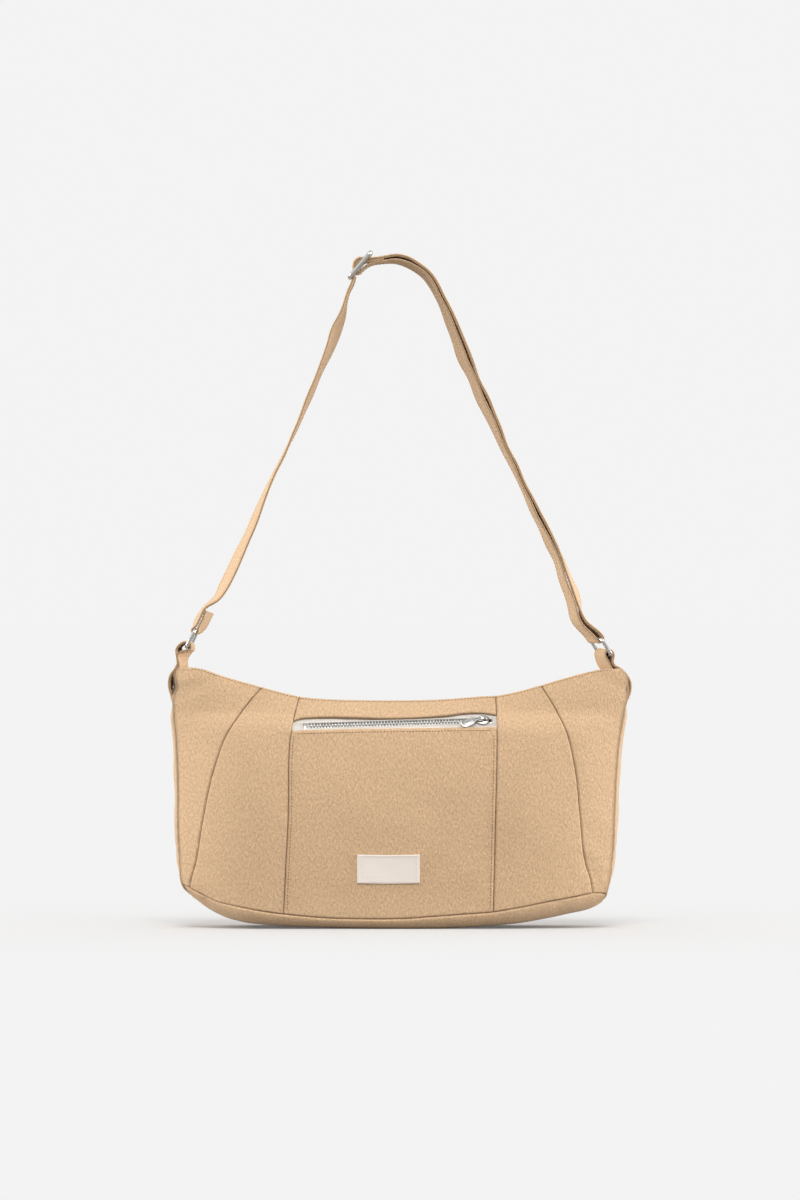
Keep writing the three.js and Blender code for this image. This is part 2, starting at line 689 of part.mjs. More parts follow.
// The puller lies along -X from its hinge pin, which crosses under the bridge, and its blade droops.
function pullerGeometry(droop) {
  const armOut = BRIDGE_WIDTH / 2 + GAP + PULLER_ARM;
  const pin = new THREE.CylinderGeometry(PULLER_PIN / 2, PULLER_PIN / 2, 2 * armOut, WIRE_SIDES);
  const arms = [-armOut, armOut - PULLER_ARM].map((low) =>
    block([-PULLER_NECK - PULLER_ARM, low, -PULLER / 2], [0, low + PULLER_ARM, PULLER / 2]),
  );
  const neck = block(
    [-PULLER_NECK - 2 * PULLER_ARM, -armOut, -PULLER / 2],
    [-PULLER_NECK, armOut, PULLER / 2],
  );
  const bladeStart = PULLER_NECK + PULLER_ARM;
  const tip = bladeStart - PULLER_LENGTH;
  const half = PULLER_WIDTH / 2;
  const outline = mirrored([
    [tip, half - PULLER_CORNER],
    [tip + PULLER_CORNER, half],
    [-PULLER_SHOULDER.length, half],
    [0, PULLER_SHOULDER.width / 2],
  ]);
  const slotStart = tip + PULLER_SLOT.from;
  const slot = mirrored([
    [slotStart, half - PULLER_SLOT.wall],
    [slotStart + PULLER_SLOT.length, half - PULLER_SLOT.wall],
  ]);
  const blade = plate(outline, -PULLER / 2, PULLER / 2, [slot]);
  blade.rotateZ(radians(droop)).translate(-bladeStart, 0, 0);
  return joined([pin, ...arms, neck, blade]);
}

// All the pieces of one zip. The closed end and the slider are at the end with the larger s.
function makeZip(name, zip, start, end, tapeEdge, stations, droop, sides) {
  const chainEnd = end - SLIDER_LENGTH - STOP_LENGTH;
  const run = steps(start, end, stations);
  const teethRun = steps(start + STOP_LENGTH + GAP, chainEnd, stations);
  const edge = TEETH_HALF + GAP;
  const chainLow = CHAIN_MIDDLE - TEETH / 2;
  const chainHigh = CHAIN_MIDDLE + TEETH / 2;
  sides.forEach((side, i) => {
    const sign = i ? -1 : 1;
    const outerEdge = (s) => sign * tapeEdge(s);
    const tape = zipStrip(zip, run, always(sign * edge), outerEdge, -TAPE_DEPTH - TAPE, -TAPE_DEPTH);
    addPiece(`${name}_${side}_tape`, tape, tapeMaterial());
    const innerEdge = always((sign * GAP) / 2);
    const teeth = zipStrip(zip, teethRun, innerEdge, always(sign * TEETH_HALF), chainLow, chainHigh);
    addPiece(`${name}_${side}_teeth`, teeth, metalMaterial());
    const stop = steps(end - STOP_LENGTH, end, 1);
    const innerStop = always(sign * (TEETH_HALF - TOP_STOP_WIDTH));
    const cap = zipStrip(zip, stop, innerStop, always(sign * TEETH_HALF), chainLow, chainHigh);
    addPiece(`${name}_${side}_top_stop`, cap, metalMaterial());
  });
  const foot = steps(start, start + STOP_LENGTH, 1);
  const across = always(TEETH_HALF);
  const bottomStop = zipStrip(zip, foot, always(-TEETH_HALF), across, chainLow, chainHigh);
  addPiece(`${name}_bottom_stop`, bottomStop, metalMaterial());

  const carriage = new THREE.Group();
  carriage.applyMatrix4(zip.frameAt(end - STOP_LENGTH - GAP - SLIDER_LENGTH / 2));
  bag.add(carriage);
  addPiece(`${name}_slider`, sliderGeometry(), metalMaterial(), carriage);
  const puller = addPiece(`${name}_puller`, pullerGeometry(droop), metalMaterial(), carriage);
  puller.position.z = PULLER_LIFT;
}

const POCKET_ZIP_START = -straightSeam(LEFT_SEAM)(ZIP_HEIGHT) + POCKET_ZIP_INSET.left;
const POCKET_ZIP_END = straightSeam(RIGHT_SEAM)(ZIP_HEIGHT) - POCKET_ZIP_INSET.right;
makeZip(
  "pocket_zip",
  makePocketZip(),
  POCKET_ZIP_START,
  POCKET_ZIP_END,
  always(TAPE_WIDTH),
  2,
  PULLER_DROOP,
  ["upper", "lower"],
);

const topZip = makeTopZip();

// The top tapes reach out to the inner faces of the panels.
function topTapeEdge(s) {
  const place = new THREE.Vector3(0, 0, -TAPE_DEPTH).applyMatrix4(topZip.frameAt(s));
  return halfDepth(place.x, place.z + TAPE_DEPTH) - CANVAS * TOP_TAPE_TILT - TOP_TAPE_MARGIN;
}
makeZip(
  "top_zip",
  topZip,
  -TOP_ZIP_HALF_LENGTH,
  TOP_ZIP_HALF_LENGTH,
  topTapeEdge,
  20,
  0,
  ["back", "front"],
);

// Rings, tabs and strap. Their routes lie in the XZ plane.

const barTurn = WIRE / 2 + GAP; // inner radius of cloth that turns round a bar
const unit = (degrees) => [Math.cos(radians(degrees)), Math.sin(radians(degrees))];

// A point d along the lean of a piece of hardware and n to its left, from its middle.
function beside(place, d, n) {
  const [c, s] = unit(place.lean);
  return [place.x + d * c - n * s, place.z + d * s + n * c];
}

function ringPlace(side, { inset, lift, lean }) {
  const x = side * (TOP_HALF_WIDTH - inset);
  return { x, z: CORNER_HEIGHT + lift, lean: side < 0 ? lean : 180 - lean };
}
const leftRing = ringPlace(-1, LEFT_RING);
const rightRing = ringPlace(1, RIGHT_RING);

function addRing(name, place) {
  const frame = new THREE.Group();
  frame.position.set(place.x, 0, place.z);
  frame.rotation.y = -radians(place.lean);
  bag.add(frame);
  addPiece(name, wireFrame(RING_LENGTH, ACROSS_STRAP, WIRE, RING_BEND), metalMaterial(), frame);
}
addRing("left_ring", leftRing);
addRing("right_ring", rightRing);

// A half turn of cloth round a bar at distance d along the ring, from one side to the other.
function turnRound(place, d, radius, from, to, count) {
  return steps(from, to, count).map((angle) => {
    const [c, s] = unit(angle);
    return beside(place, d + radius * c, radius * s);
  });
}

// Canvas tab: both ends are sewn to the outside of the gusset, and the fold holds the ring's lower bar.
function addTab(name, side, place) {
  const radius = barTurn + TAB / 2;
  const face = (z) => gussetFace(0, z) + GAP + TAB / 2;
  const foot = GUSSET_TOP - TAB_DROP;
  const middle = GUSSET_TOP - TAB_DROP / 2;
  const outer = TAB + 2 * GAP;
  const shorter = TAB; // the outer layer ends this much higher
  const fold = turnRound(place, -RING_LENGTH / 2, radius, side * 90, side * -90, TURN_STEPS - 1);
  const route = [
    [side * face(foot), foot],
    [side * (face(middle) + GAP), middle],
    [side * (face(GUSSET_TOP) + GAP), GUSSET_TOP],
    ...fold,
    [side * (face(GUSSET_TOP) + outer + TAB_SWELL / 2), GUSSET_TOP + shorter],
    [side * (face(middle) + outer + TAB_SWELL), middle + 2 * shorter],
    [side * (face(foot) + outer), foot + shorter],
  ];
  addPiece(name, ribbon(route, STRAP_WIDTH, TAB), canvasMaterial());
}
addTab("left_tab", -1, leftRing);
addTab("right_tab", 1, rightRing);

// Strap adjuster: a wire frame with a bar across its middle

const adjuster = {
  x: -ADJUSTER_SHARE * leftRing.x,
  z: leftRing.z + ADJUSTER_LIFT,
  lean: ADJUSTER_LEAN,
};

function addAdjuster() {
  const frame = new THREE.Group();
  frame.position.set(adjuster.x, 0, adjuster.z);
  frame.rotation.y = -radians(adjuster.lean);
  bag.add(frame);
  const bar = new THREE.CylinderGeometry(WIRE / 2, WIRE / 2, ACROSS_STRAP, WIRE_SIDES);
  const geometry = joined([wireFrame(ADJUSTER_LENGTH, ACROSS_STRAP, WIRE, ADJUSTER_BEND), bar]);
  addPiece("strap_adjuster", geometry, metalMaterial(), frame);
}
addAdjuster();

// The strap is one strip. Its route is split at the adjuster into lengths that meet end to end.

const strapTurn = barTurn + STRAP / 2; // radius of the strap's middle line round a bar
const layerStep = STRAP + 2 * GAP; // between the middle lines of two layers

// Heights above the left ring and sideways shares of its distance, up the left leg.
const LEFT_LEG = [
  [-0.84, 42],
  [-0.77, 71],
  [-0.68, 107],
  [-0.59, 143],
  [-0.5, 179],
  [-0.405, 216],
  [-0.315, 253],
].map(([share, lift]) => [-share * leftRing.x, leftRing.z + lift]);

// The two layers of the right leg follow one middle line, given the same way from the right ring,
// with the half distance between the layers.
const RIGHT_LEG = [
  [-0.012, 320, 1.05],
  [0.065, 316, 1.05],
  [0.155, 299, 1.1],
  [0.215, 276, 1.1],
  [0.27, 252, 1],
  [0.38, 214, 0.8],
  [0.5, 170, 0.7],
  [0.61, 133, 0.8],
  [0.725, 92, 0.8],
  [0.79, 66, 0.9],
  [0.85, 42, 1],
  [0.9, 26, 1.1],
].map(([share, lift, spread]) => ({
  x: share * rightRing.x,
  z: rightRing.z + lift,
  spread: spread * layerStep,
}));

// The right leg's middle line moved sideways by its own spread, sign 1 for the outer layer.
function layerOf(sign) {
  return RIGHT_LEG.map(({ x, z, spread }, i) => {
    const before = RIGHT_LEG[Math.max(0, i - 1)];
    const after = RIGHT_LEG[Math.min(RIGHT_LEG.length - 1, i + 1)];
    const length = Math.hypot(after.x - before.x, after.z - before.z);
    const nx = -(after.z - before.z) / length;
    const nz = (after.x - before.x) / length;
    return [x + sign * spread * nx, z + sign * spread * nz];
  });
}

// Points beside the adjuster: d along it, and n off it counted in strap turns.
const fromAdjuster = (points) => points.map(([d, n]) => beside(adjuster, d, n * strapTurn));
const weaveTop = (strapTurn + layerStep + OVERLAP) / strapTurn;
const endBar = ADJUSTER_LENGTH / 2;
const weavePlace = 1.5 * layerStep; // along the adjuster, clear of the sewn end

// The two sides of the fold sewn at the left ring, side -1 outside the bag.
const foldSide = (side) => [
  beside(leftRing, RING_LENGTH / 2 + LEFT_TAIL / 2, side * strapTurn * FOLD_PINCH),
  beside(leftRing, RING_LENGTH / 2 + LEFT_TAIL, side * layerStep * FOLD_END),
];

const leftFold = [
  ...foldSide(-1).reverse(),
  ...turnRound(leftRing, RING_LENGTH / 2, strapTurn, -75, -285, TURN_STEPS),
  ...foldSide(1),
];
const leftLegTwist = (z) => {
  const low = leftRing.z + RING_LENGTH / 2 + LEFT_TAIL;
  const high = adjuster.z - ADJUSTER_LENGTH / 2 - LEFT_TAIL;
  return -STRAP_TWIST * Math.sin(2 * Math.PI * clamp((z - low) / (high - low), 0, 1));
};
addPiece(
  "strap_left_leg",
  ribbon(
    [...leftFold, ...LEFT_LEG, ...fromAdjuster([[-endBar - 12, -2.76], [-endBar - 2.2, -1.41]])],
    STRAP_WIDTH,
    STRAP,
    leftLegTwist,
  ),
  canvasMaterial(),
);

addPiece(
  "strap_weave",
  ribbon(
    fromAdjuster([
      [-endBar - 1.9, -1.36],
      [-endBar + 2.4, -0.69],
      [-5.6, 0.9],
      [-3, weaveTop - 0.31],
      [0, weaveTop],
      [3, weaveTop - 0.34],
      [weavePlace + 1.65, 0.34],
      [weavePlace + 4.05, -0.76],
      [weavePlace + 6.05, -1.52],
    ]),
    STRAP_WIDTH,
    STRAP,
  ),
  canvasMaterial(),
);

addPiece(
  "strap_outer_run",
  ribbon(
    [
      ...fromAdjuster([[weavePlace + 6.35, -1.62], [weavePlace + 8.85, -2.45]]),
      ...layerOf(1),
      ...turnRound(rightRing, RING_LENGTH / 2, strapTurn, -80, -180, BEND_STEPS),
    ],
    STRAP_WIDTH,
    STRAP,
  ),
  canvasMaterial(),
);

const innerLayer = layerOf(-1);
addPiece(
  "strap_inner_run",
  ribbon(
    [
      ...turnRound(rightRing, RING_LENGTH / 2, strapTurn, -200, -280, BEND_STEPS),
      ...innerLayer.reverse(),
    ],
    STRAP_WIDTH,
    STRAP,
  ),
  canvasMaterial(),
);

// The sewn end of the strap: it meets the inner run, turns round the adjuster's middle bar, and its tail
// lies back between the two runs.
const TAIL_END = [RIGHT_LEG[0].x - 3, RIGHT_LEG[0].z - GAP];
const innerEnd = innerLayer.at(-1);
addPiece(
  "strap_sewn_end",
  ribbon(
    [
      [innerEnd[0] - 3 * GAP, innerEnd[1]],
      ...fromAdjuster([[7.3, -3.31], [3.4, -1.72]]),
      ...turnRound(adjuster, 0, strapTurn, -80, -290, TURN_STEPS),
      ...fromAdjuster([[5.4, -0.93], [9, -2.41]]),
      TAIL_END,
    ],
    STRAP_WIDTH,
    STRAP,
  ),
  canvasMaterial(),
);

export default bag;
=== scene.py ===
"""A soft canvas crossbody bag with a front zip pocket, a top zip, metal rings and an adjustable strap.

Metres, +Z up. The front faces -Y, and the origin is on the floor under the middle of the bag.
"""
import math

import bpy
import numpy as np
from bpy.props import FloatProperty, FloatVectorProperty, PointerProperty
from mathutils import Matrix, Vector


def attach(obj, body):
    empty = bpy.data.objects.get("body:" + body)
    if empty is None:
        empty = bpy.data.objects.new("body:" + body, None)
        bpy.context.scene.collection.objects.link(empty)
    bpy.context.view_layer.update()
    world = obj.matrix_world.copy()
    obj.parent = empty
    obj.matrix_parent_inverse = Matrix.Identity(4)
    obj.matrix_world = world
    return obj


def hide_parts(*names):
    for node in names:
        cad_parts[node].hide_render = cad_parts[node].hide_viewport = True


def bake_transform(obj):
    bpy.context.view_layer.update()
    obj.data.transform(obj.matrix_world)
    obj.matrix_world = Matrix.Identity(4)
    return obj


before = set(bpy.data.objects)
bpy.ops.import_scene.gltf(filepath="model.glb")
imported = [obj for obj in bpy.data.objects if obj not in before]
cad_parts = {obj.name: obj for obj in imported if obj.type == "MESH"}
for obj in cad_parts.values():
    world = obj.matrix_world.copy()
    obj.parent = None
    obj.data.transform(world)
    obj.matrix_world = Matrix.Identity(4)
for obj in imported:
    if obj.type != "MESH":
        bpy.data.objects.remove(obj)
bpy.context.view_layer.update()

bl_info = {
    "name": "Canvas Crossbody Bag",
    "version": (1, 0, 0),
    "blender": (4, 5, 0),
    "location": "View3D > Sidebar > Bag",
    "description": "Builds a canvas crossbody bag with two zips, metal rings and an adjustable strap",
    "category": "Object",
}

MM = 0.001


def mm(*values):
    """Millimetres as metres, for a number, a point or a list of points."""
    scaled = np.array(values, float) * MM
    return scaled if len(values) > 1 else scaled[0]


def from_screen(red, green, blue):
    """A colour as seen on screen, 0 to 255, as the linear values that Blender works in."""
    shown = (value / 255 for value in (red, green, blue))
    return tuple(c / 12.92 if c < 0.04 else ((c + 0.055) / 1.055) ** 2.4 for c in shown)


def smooth_line(points):
    """A smooth curve through points, as a function from their first coordinate to their second."""
    xs, ys = np.array(points, float).T
    slopes = np.gradient(ys, xs)

    def value(x):
        x = np.asarray(x, float)
        i = np.clip(np.searchsorted(xs, x) - 1, 0, len(xs) - 2)
        step = xs[i + 1] - xs[i]
        t = np.clip((x - xs[i]) / step, 0, 1)
        start = ys[i] * (1 + 2 * t) * (1 - t) ** 2 + slopes[i] * step * t * (1 - t) ** 2
        end = ys[i + 1] * t**2 * (3 - 2 * t) - slopes[i + 1] * step * t**2 * (1 - t)
        return start + end

    return value


def lerp(a, b, t):
    return a + (b - a) * t


def ease(t):
    t = np.clip(t, 0, 1)
    return t * t * (3 - 2 * t)


def ramp_up(value, start, length):
    """From 0 to 1, smoothly, over a length that begins at a start."""
    return ease((value - start) / length)


def fade(distance, reach):
    """1 at an edge, falling to 0 at a reach from it."""
    return np.clip(1 - distance / reach, 0, 1)


def hump(value, middle, width):
    """A soft hump, 1 where a value is at its middle."""
    return np.exp(-(((value - middle) / width) ** 2))


def unit(vectors):
    """Vectors made one long."""
    return vectors / np.linalg.norm(vectors, axis=-1, keepdims=True)


# Properties


class BagSizes(bpy.types.PropertyGroup):
    """Sizes that a user may change"""

    canvas: FloatProperty(
        name="Canvas",
        description="Thickness of the panels",
        default=1.6 * MM,
        unit="LENGTH",
    )
    seam_depth: FloatProperty(
        name="Seam depth",
        description="How deep the panels dip at a seam",
        default=1.5 * MM,
        unit="LENGTH",
    )
    stitch: FloatProperty(
        name="Stitch",
        description="Distance from one stitch to the next",
        default=2.6 * MM,
        unit="LENGTH",
    )
    strap_width: FloatProperty(
        name="Strap width",
        description="Width of the strap and the tabs",
        default=25 * MM,
        unit="LENGTH",
    )
    strap: FloatProperty(
        name="Strap",
        description="Thickness of the strap",
        default=2.2 * MM,
        unit="LENGTH",
    )
    wire: FloatProperty(
        name="Wire",
        description="Diameter of the rings' and adjuster's wire",
        default=2.9 * MM,
        unit="LENGTH",
    )
    tooth: FloatProperty(
        name="Tooth",
        description="Distance from one zip tooth to the next",
        default=2.5 * MM,
        unit="LENGTH",
    )


class BagColours(bpy.types.PropertyGroup):
    """Colours that a user may change"""

    canvas: FloatVectorProperty(
        name="Canvas",
        description="Colour of the canvas",
        subtype="COLOR",
        default=from_screen(219, 184, 146),
    )
    thread: FloatVectorProperty(
        name="Thread",
        description="Colour of the stitches",
        subtype="COLOR",
        default=from_screen(142, 106, 68),
    )
    lining: FloatVectorProperty(
        name="Lining",
        description="Colour of the lining",
        subtype="COLOR",
        default=from_screen(196, 168, 134),
    )
    tape: FloatVectorProperty(
        name="Zip tape",
        description="Colour of the zip tape",
        subtype="COLOR",
        default=from_screen(236, 230, 222),
    )
    label: FloatVectorProperty(
        name="Label",
        description="Colour of the label",
        subtype="COLOR",
        default=from_screen(243, 232, 222),
    )
    metal: FloatVectorProperty(
        name="Metal",
        description="Colour of the metal",
        subtype="COLOR",
        default=from_screen(214, 212, 208),
    )
    backdrop: FloatVectorProperty(
        name="Backdrop",
        description="Colour behind the bag",
        subtype="COLOR",
        default=from_screen(243, 243, 243),
    )


def sizes():
    return bpy.context.scene.bag_sizes


def colours():
    return bpy.context.scene.bag_colours


# Mesh helpers


def only(obj):
    """Select one object and make it active."""
    bpy.ops.object.select_all(action="DESELECT")
    obj.select_set(True)
    bpy.context.view_layer.objects.active = obj


def volume_of(points, faces):
    """Signed volume of a closed mesh of quads."""
    a, b, c, d = (points[faces[:, k]] for k in range(4))
    total = np.einsum("ij,ij->i", a, np.cross(b, c)) + np.einsum("ij,ij->i", a, np.cross(c, d))
    return total.sum() / 6


def quad_piece(name, points, faces, uv=None, seam=None, smooth=40):
    """An object from points and quads, with faces outwards, a UV map in metres and a seam attribute."""
    if volume_of(points, faces) < 0:
        faces = faces[:, ::-1]
    mesh = bpy.data.meshes.new(name)
    mesh.from_pydata(points.tolist(), [], faces.tolist())
    if uv is not None:
        layer = mesh.uv_layers.new(name="UVMap")
        layer.data.foreach_set("uv", uv[faces.ravel()].ravel())
    # The seam attribute is painted shade: 1 where a piece is darkened at seams, edges and hollows
    shade = mesh.attributes.new("seam", "FLOAT", "POINT")
    shade.data.foreach_set("value", np.zeros(len(points)) if seam is None else seam)
    obj = bpy.data.objects.new(name, mesh)
    bpy.context.collection.objects.link(obj)
    only(obj)
    bpy.ops.object.shade_smooth_by_angle(angle=math.radians(smooth))
    return obj


def grid_faces(rows, columns, start=0, closed=False):
    i = np.arange(rows - 1)[:, None] * columns + start
    j = np.arange(columns if closed else columns - 1)[None, :]
    k = (j + 1) % columns
    return np.stack([i + j, i + k, i + columns + k, i + columns + j], -1).reshape(-1, 4)


def cap_faces(sides):
    """Quads that fill a ring of points, from one side of it to the other."""
    low = np.arange(sides // 2 - 1)
    return np.stack([low, low + 1, sides - 2 - low, sides - 1 - low], -1)


def rim_loop(rows, columns):
    """The border of a grid, once round."""
    top = [(0, j) for j in range(columns)]
    right = [(i, columns - 1) for i in range(1, rows)]
    bottom = [(rows - 1, j) for j in range(columns - 2, -1, -1)]
    left = [(i, 0) for i in range(rows - 2, 0, -1)]
    return np.array([i * columns + j for i, j in top + right + bottom + left])


def grid_normals(points):
    """Unit normals of a grid of points."""
    across = np.gradient(points, axis=1)
    along = np.gradient(points, axis=0)
    normal = np.cross(across, along)
    return normal / np.maximum(np.linalg.norm(normal, axis=-1, keepdims=True), 1e-12)


def run_length(points, axis):
    """Distance along a grid of points from its first row or column."""
    step = np.linalg.norm(np.diff(points, axis=axis), axis=-1)
    start = np.zeros_like(np.take(step, [0], axis))
    return np.concatenate([start, np.cumsum(step, axis=axis)], axis)


def from_ends(run, axis):
    """Distance from the nearer end of a run along a grid of points."""
    return np.minimum(run, np.take(run, [-1], axis) - run)


def cloth_piece(name, outer, inner, seam=None, uv=None, smooth=40):
    """A closed piece of cloth between two grids of points."""
    rows, columns = outer.shape[:2]
    count = rows * columns
    if uv is None:
        uv = np.stack([run_length(outer, 1), run_length(outer, 0)], -1)
        uv[..., 0] += outer[:, :1, 0]
        uv[..., 1] += outer[:1, :, 2]
    face = grid_faces(rows, columns)
    rim = rim_loop(rows, columns)
    after = np.roll(rim, -1)
    edge = np.stack([after, rim, rim + count, after + count], -1)
    faces = np.concatenate([face, face[:, ::-1] + count, edge])
    points = np.concatenate([outer.reshape(-1, 3), inner.reshape(-1, 3)])
    shade = np.zeros((rows, columns)) if seam is None else seam
    flat_uv = uv.reshape(-1, 2)
    return quad_piece(
        name,
        points,
        faces,
        np.concatenate([flat_uv, flat_uv]),
        np.concatenate([shade.ravel(), shade.ravel()]),
        smooth,
    )


def loft_piece(name, rings, uv=None, seam=None, smooth=50):
    """A closed solid through rings of points, with its ends filled by strips of quads."""
    count, sides = rings.shape[:2]
    cap = cap_faces(sides)
    faces = [grid_faces(count, sides, closed=True), cap[:, ::-1], (count - 1) * sides + cap]
    return quad_piece(
        name,
        rings.reshape(-1, 3),
        np.concatenate(faces),
        None if uv is None else uv.reshape(-1, 2),
        None if seam is None else seam.ravel(),
        smooth,
    )


def spaced(fine, coarse, reach, length):
    """Shares of a length, finely spaced within reach of both ends."""
    edge = np.arange(0, reach, fine)
    middle = np.linspace(reach, length - reach, max(3, int((length - 2 * reach) / coarse)))
    return np.concatenate([edge, middle, length - edge[::-1]]) / length


def finish_piece(obj, material, body, nodes=()):
    """Give a piece its material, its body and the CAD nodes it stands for."""
    obj.data.materials.clear()
    obj.data.materials.append(material)
    if body:
        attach(obj, body)
    if nodes:
        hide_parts(*nodes)
    return obj


# Materials

# The mix node's sockets for colours
MIX_A, MIX_B, MIX_RESULT = 6, 7, 2


class Shader:
    """Short words for building one material's nodes."""

    def __init__(self, name):
        self.material = bpy.data.materials.get(name)
        self.ready = self.material is not None
        if self.ready:
            return
        self.material = bpy.data.materials.new(name)
        self.material.use_nodes = True
        self.tree = self.material.node_tree
        self.surface = self.tree.nodes["Principled BSDF"]

    def set(self, socket, value):
        if isinstance(value, bpy.types.NodeSocket):
            self.tree.links.new(value, socket)
        elif socket.type == "RGBA":
            socket.default_value = (*value[:3], 1)
        else:
            socket.default_value = value

    def add(self, kind, inputs=None, out=0, **settings):
        node = self.tree.nodes.new("ShaderNode" + kind)
        for key, value in settings.items():
            setattr(node, key, value)
        for key, value in (inputs or {}).items():
            self.set(node.inputs[key], value)
        return node.outputs[out]

    def math(self, operation, a, b=0.0, c=0.0):
        return self.add("Math", {0: a, 1: b, 2: c}, operation=operation)

    def noise(self, where, scale, detail=2.0, roughness=0.5, distortion=0.0):
        inputs = {
            "Vector": where,
            "Scale": scale,
            "Detail": detail,
            "Roughness": roughness,
            "Distortion": distortion,
        }
        return self.add("TexNoise", inputs)

    def turned(self, where, degrees=0.0, stretch=(1, 1, 1)):
        inputs = {"Vector": where, "Rotation": (0, 0, math.radians(degrees)), "Scale": stretch}
        return self.add("Mapping", inputs)

    def ramp(self, value, low, high, start=0.0, end=1.0):
        inputs = {"Value": value, "From Min": low, "From Max": high, "To Min": start, "To Max": end}
        return self.add("MapRange", inputs)

    def mix(self, factor, a, b, blend="MIX"):
        node = self.tree.nodes.new("ShaderNodeMix")
        node.data_type = "RGBA"
        node.blend_type = blend
        self.set(node.inputs[0], factor)
        self.set(node.inputs[MIX_A], a)
        self.set(node.inputs[MIX_B], b)
        return node.outputs[MIX_RESULT]

    def waves(self, where, pitch, axis):
        """Ridges across one axis of a map, from 0 to 1, a pitch apart."""
        place = self.add("SeparateXYZ", {0: where}, out=axis)
        turn = self.math("MULTIPLY", place, 2 * math.pi / pitch)
        return self.math("MULTIPLY_ADD", self.math("SINE", turn), 0.5, 0.5)

    def bump(self, height, distance, strength=1.0, below=None):
        inputs = {"Height": height, "Distance": distance, "Strength": strength}
        if below is not None:
            inputs["Normal"] = below
        return self.add("Bump", inputs)

    def finish(self, **inputs):
        for key, value in inputs.items():
            self.set(self.surface.inputs[key.replace("_", " ")], value)
        return self.material


# Shares of the canvas colour
STRAP_TONE, STRAP_THREAD_TONE = 0.95, 0.92
# Shares of a cloth's colour in its clouds, between its threads, and in its painted shade at seams, edges
# and hollows
CLOUD_TONE, GAP_TONE, PAINTED_SHADE_TONE = 0.6, 0.45, 0.25
SHEEN_TINT = (1.0, 0.93, 0.84)
# The size of the clouds, in lengths of uneven yarn
CLOUD_SIZE = 16
# The thread's fibres: their size, and shares of the thread's colour
FIBRE, DARK_FIBRE, LIGHT_FIBRE = 0.5 * MM, 0.85, 1.15
# Sizes of the marks on metal
SMEAR, SCUFF = 5 * MM, 0.6 * MM
SMEAR_TONE = 0.86


def scaled(colour, factor):
    return tuple(min(1.0, c * factor) for c in colour[:3])


def woven(name, colour, thread_pitch, slub, mottle, painted_shade_strength=0.5, sheen=0.2, relief=0.9):
    """Cloth of crossed threads, with uneven yarn, cloudy colour and painted shade at its seams and edges.
    """
    s = Shader(name)
    if s.ready:
        return s.material
    where = s.add("UVMap", uv_map="UVMap")
    warp = s.waves(where, thread_pitch, 0)
    weft = s.waves(where, thread_pitch, 1)
    weave = s.math("ABSOLUTE", s.math("SUBTRACT", warp, weft))
    leaning = s.turned(where, degrees=42, stretch=(1, 0.6, 1))
    yarn = s.noise(leaning, 1 / slub, roughness=0.6)
    crossing = s.turned(where, degrees=-48, stretch=(1, 0.7, 1))
    cross_yarn = s.noise(crossing, 1.9 / slub, roughness=0.6)
    clouds = s.noise(where, 1 / (CLOUD_SIZE * slub), detail=3.0, roughness=0.55)
    light = scaled(colour, 1 + mottle)
    dark = scaled(colour, 1 - 1.3 * mottle)
    uneven = s.math("MULTIPLY_ADD", cross_yarn, 0.5, s.math("MULTIPLY", yarn, 0.5))
    flecked = s.mix(s.ramp(uneven, low=0.36, high=0.64), dark, light)
    cloudiness = s.ramp(clouds, low=0.3, high=0.7, end=0.5 * mottle)
    cloudy = s.mix(cloudiness, flecked, scaled(colour, CLOUD_TONE))
    gaps = s.ramp(weave, low=0.0, high=0.35, start=0.14, end=0.0)
    threads = s.mix(gaps, cloudy, scaled(colour, GAP_TONE))
    # Painted shade from the seam attribute, where shade falls in seams, hollows and under the zip teeth
    seam = s.add("Attribute", out="Fac", attribute_name="seam")
    shaded = s.mix(s.math("MULTIPLY", seam, painted_shade_strength), threads, scaled(colour, PAINTED_SHADE_TONE))
    coarse = s.bump(uneven, distance=relief * MM, strength=0.8)
    fine = s.bump(weave, distance=0.25 * thread_pitch, strength=0.7, below=coarse)
    return s.finish(
        Base_Color=shaded,
        Normal=fine,
        Roughness=0.92,
        Specular_IOR_Level=0.22,
        Sheen_Weight=sheen,
        Sheen_Roughness=0.45,
        Sheen_Tint=SHEEN_TINT,
    )


def canvas_material():
    return woven(
        "bag canvas", colours().canvas, thread_pitch=0.9 * MM, slub=1.6 * MM, mottle=0.22, painted_shade_strength=0.7
    )


def strap_material():
    return woven(
        "strap canvas",
        scaled(colours().canvas, STRAP_TONE),
        thread_pitch=0.8 * MM,
        slub=1.7 * MM,
        mottle=0.06,
        painted_shade_strength=0.6,
        relief=0.3,
    )


def lining_material():
    return woven("lining cloth", colours().lining, thread_pitch=0.6 * MM, slub=3.0 * MM, mottle=0.04)


def tape_material():
    return woven(
        "zip tape weave",
        colours().tape,
        thread_pitch=0.9 * MM,
        slub=1.2 * MM,
        mottle=0.04,
        painted_shade_strength=1.0,
        sheen=0.1,
    )


def label_material():
    return woven(
        "label weave",
        colours().label,
        thread_pitch=0.55 * MM,
        slub=1.4 * MM,
        mottle=0.02,
        painted_shade_strength=0.35,
        sheen=0.1,
        relief=0.1,
    )


def thread_material(name="thread", shade=None):
    """Twisted sewing thread."""
    s = Shader(name)
    if s.ready:
        return s.material
    shade = tuple(shade or colours().thread)
    where = s.add("TexCoord", out="Object")
    fibre = s.noise(where, 1 / FIBRE)
    colour = s.mix(fibre, scaled(shade, DARK_FIBRE), scaled(shade, LIGHT_FIBRE))
    return s.finish(Base_Color=colour, Roughness=0.8, Specular_IOR_Level=0.3, Sheen_Weight=0.2)


def strap_thread_material():
    return thread_material("strap thread", scaled(colours().canvas, STRAP_THREAD_TONE))


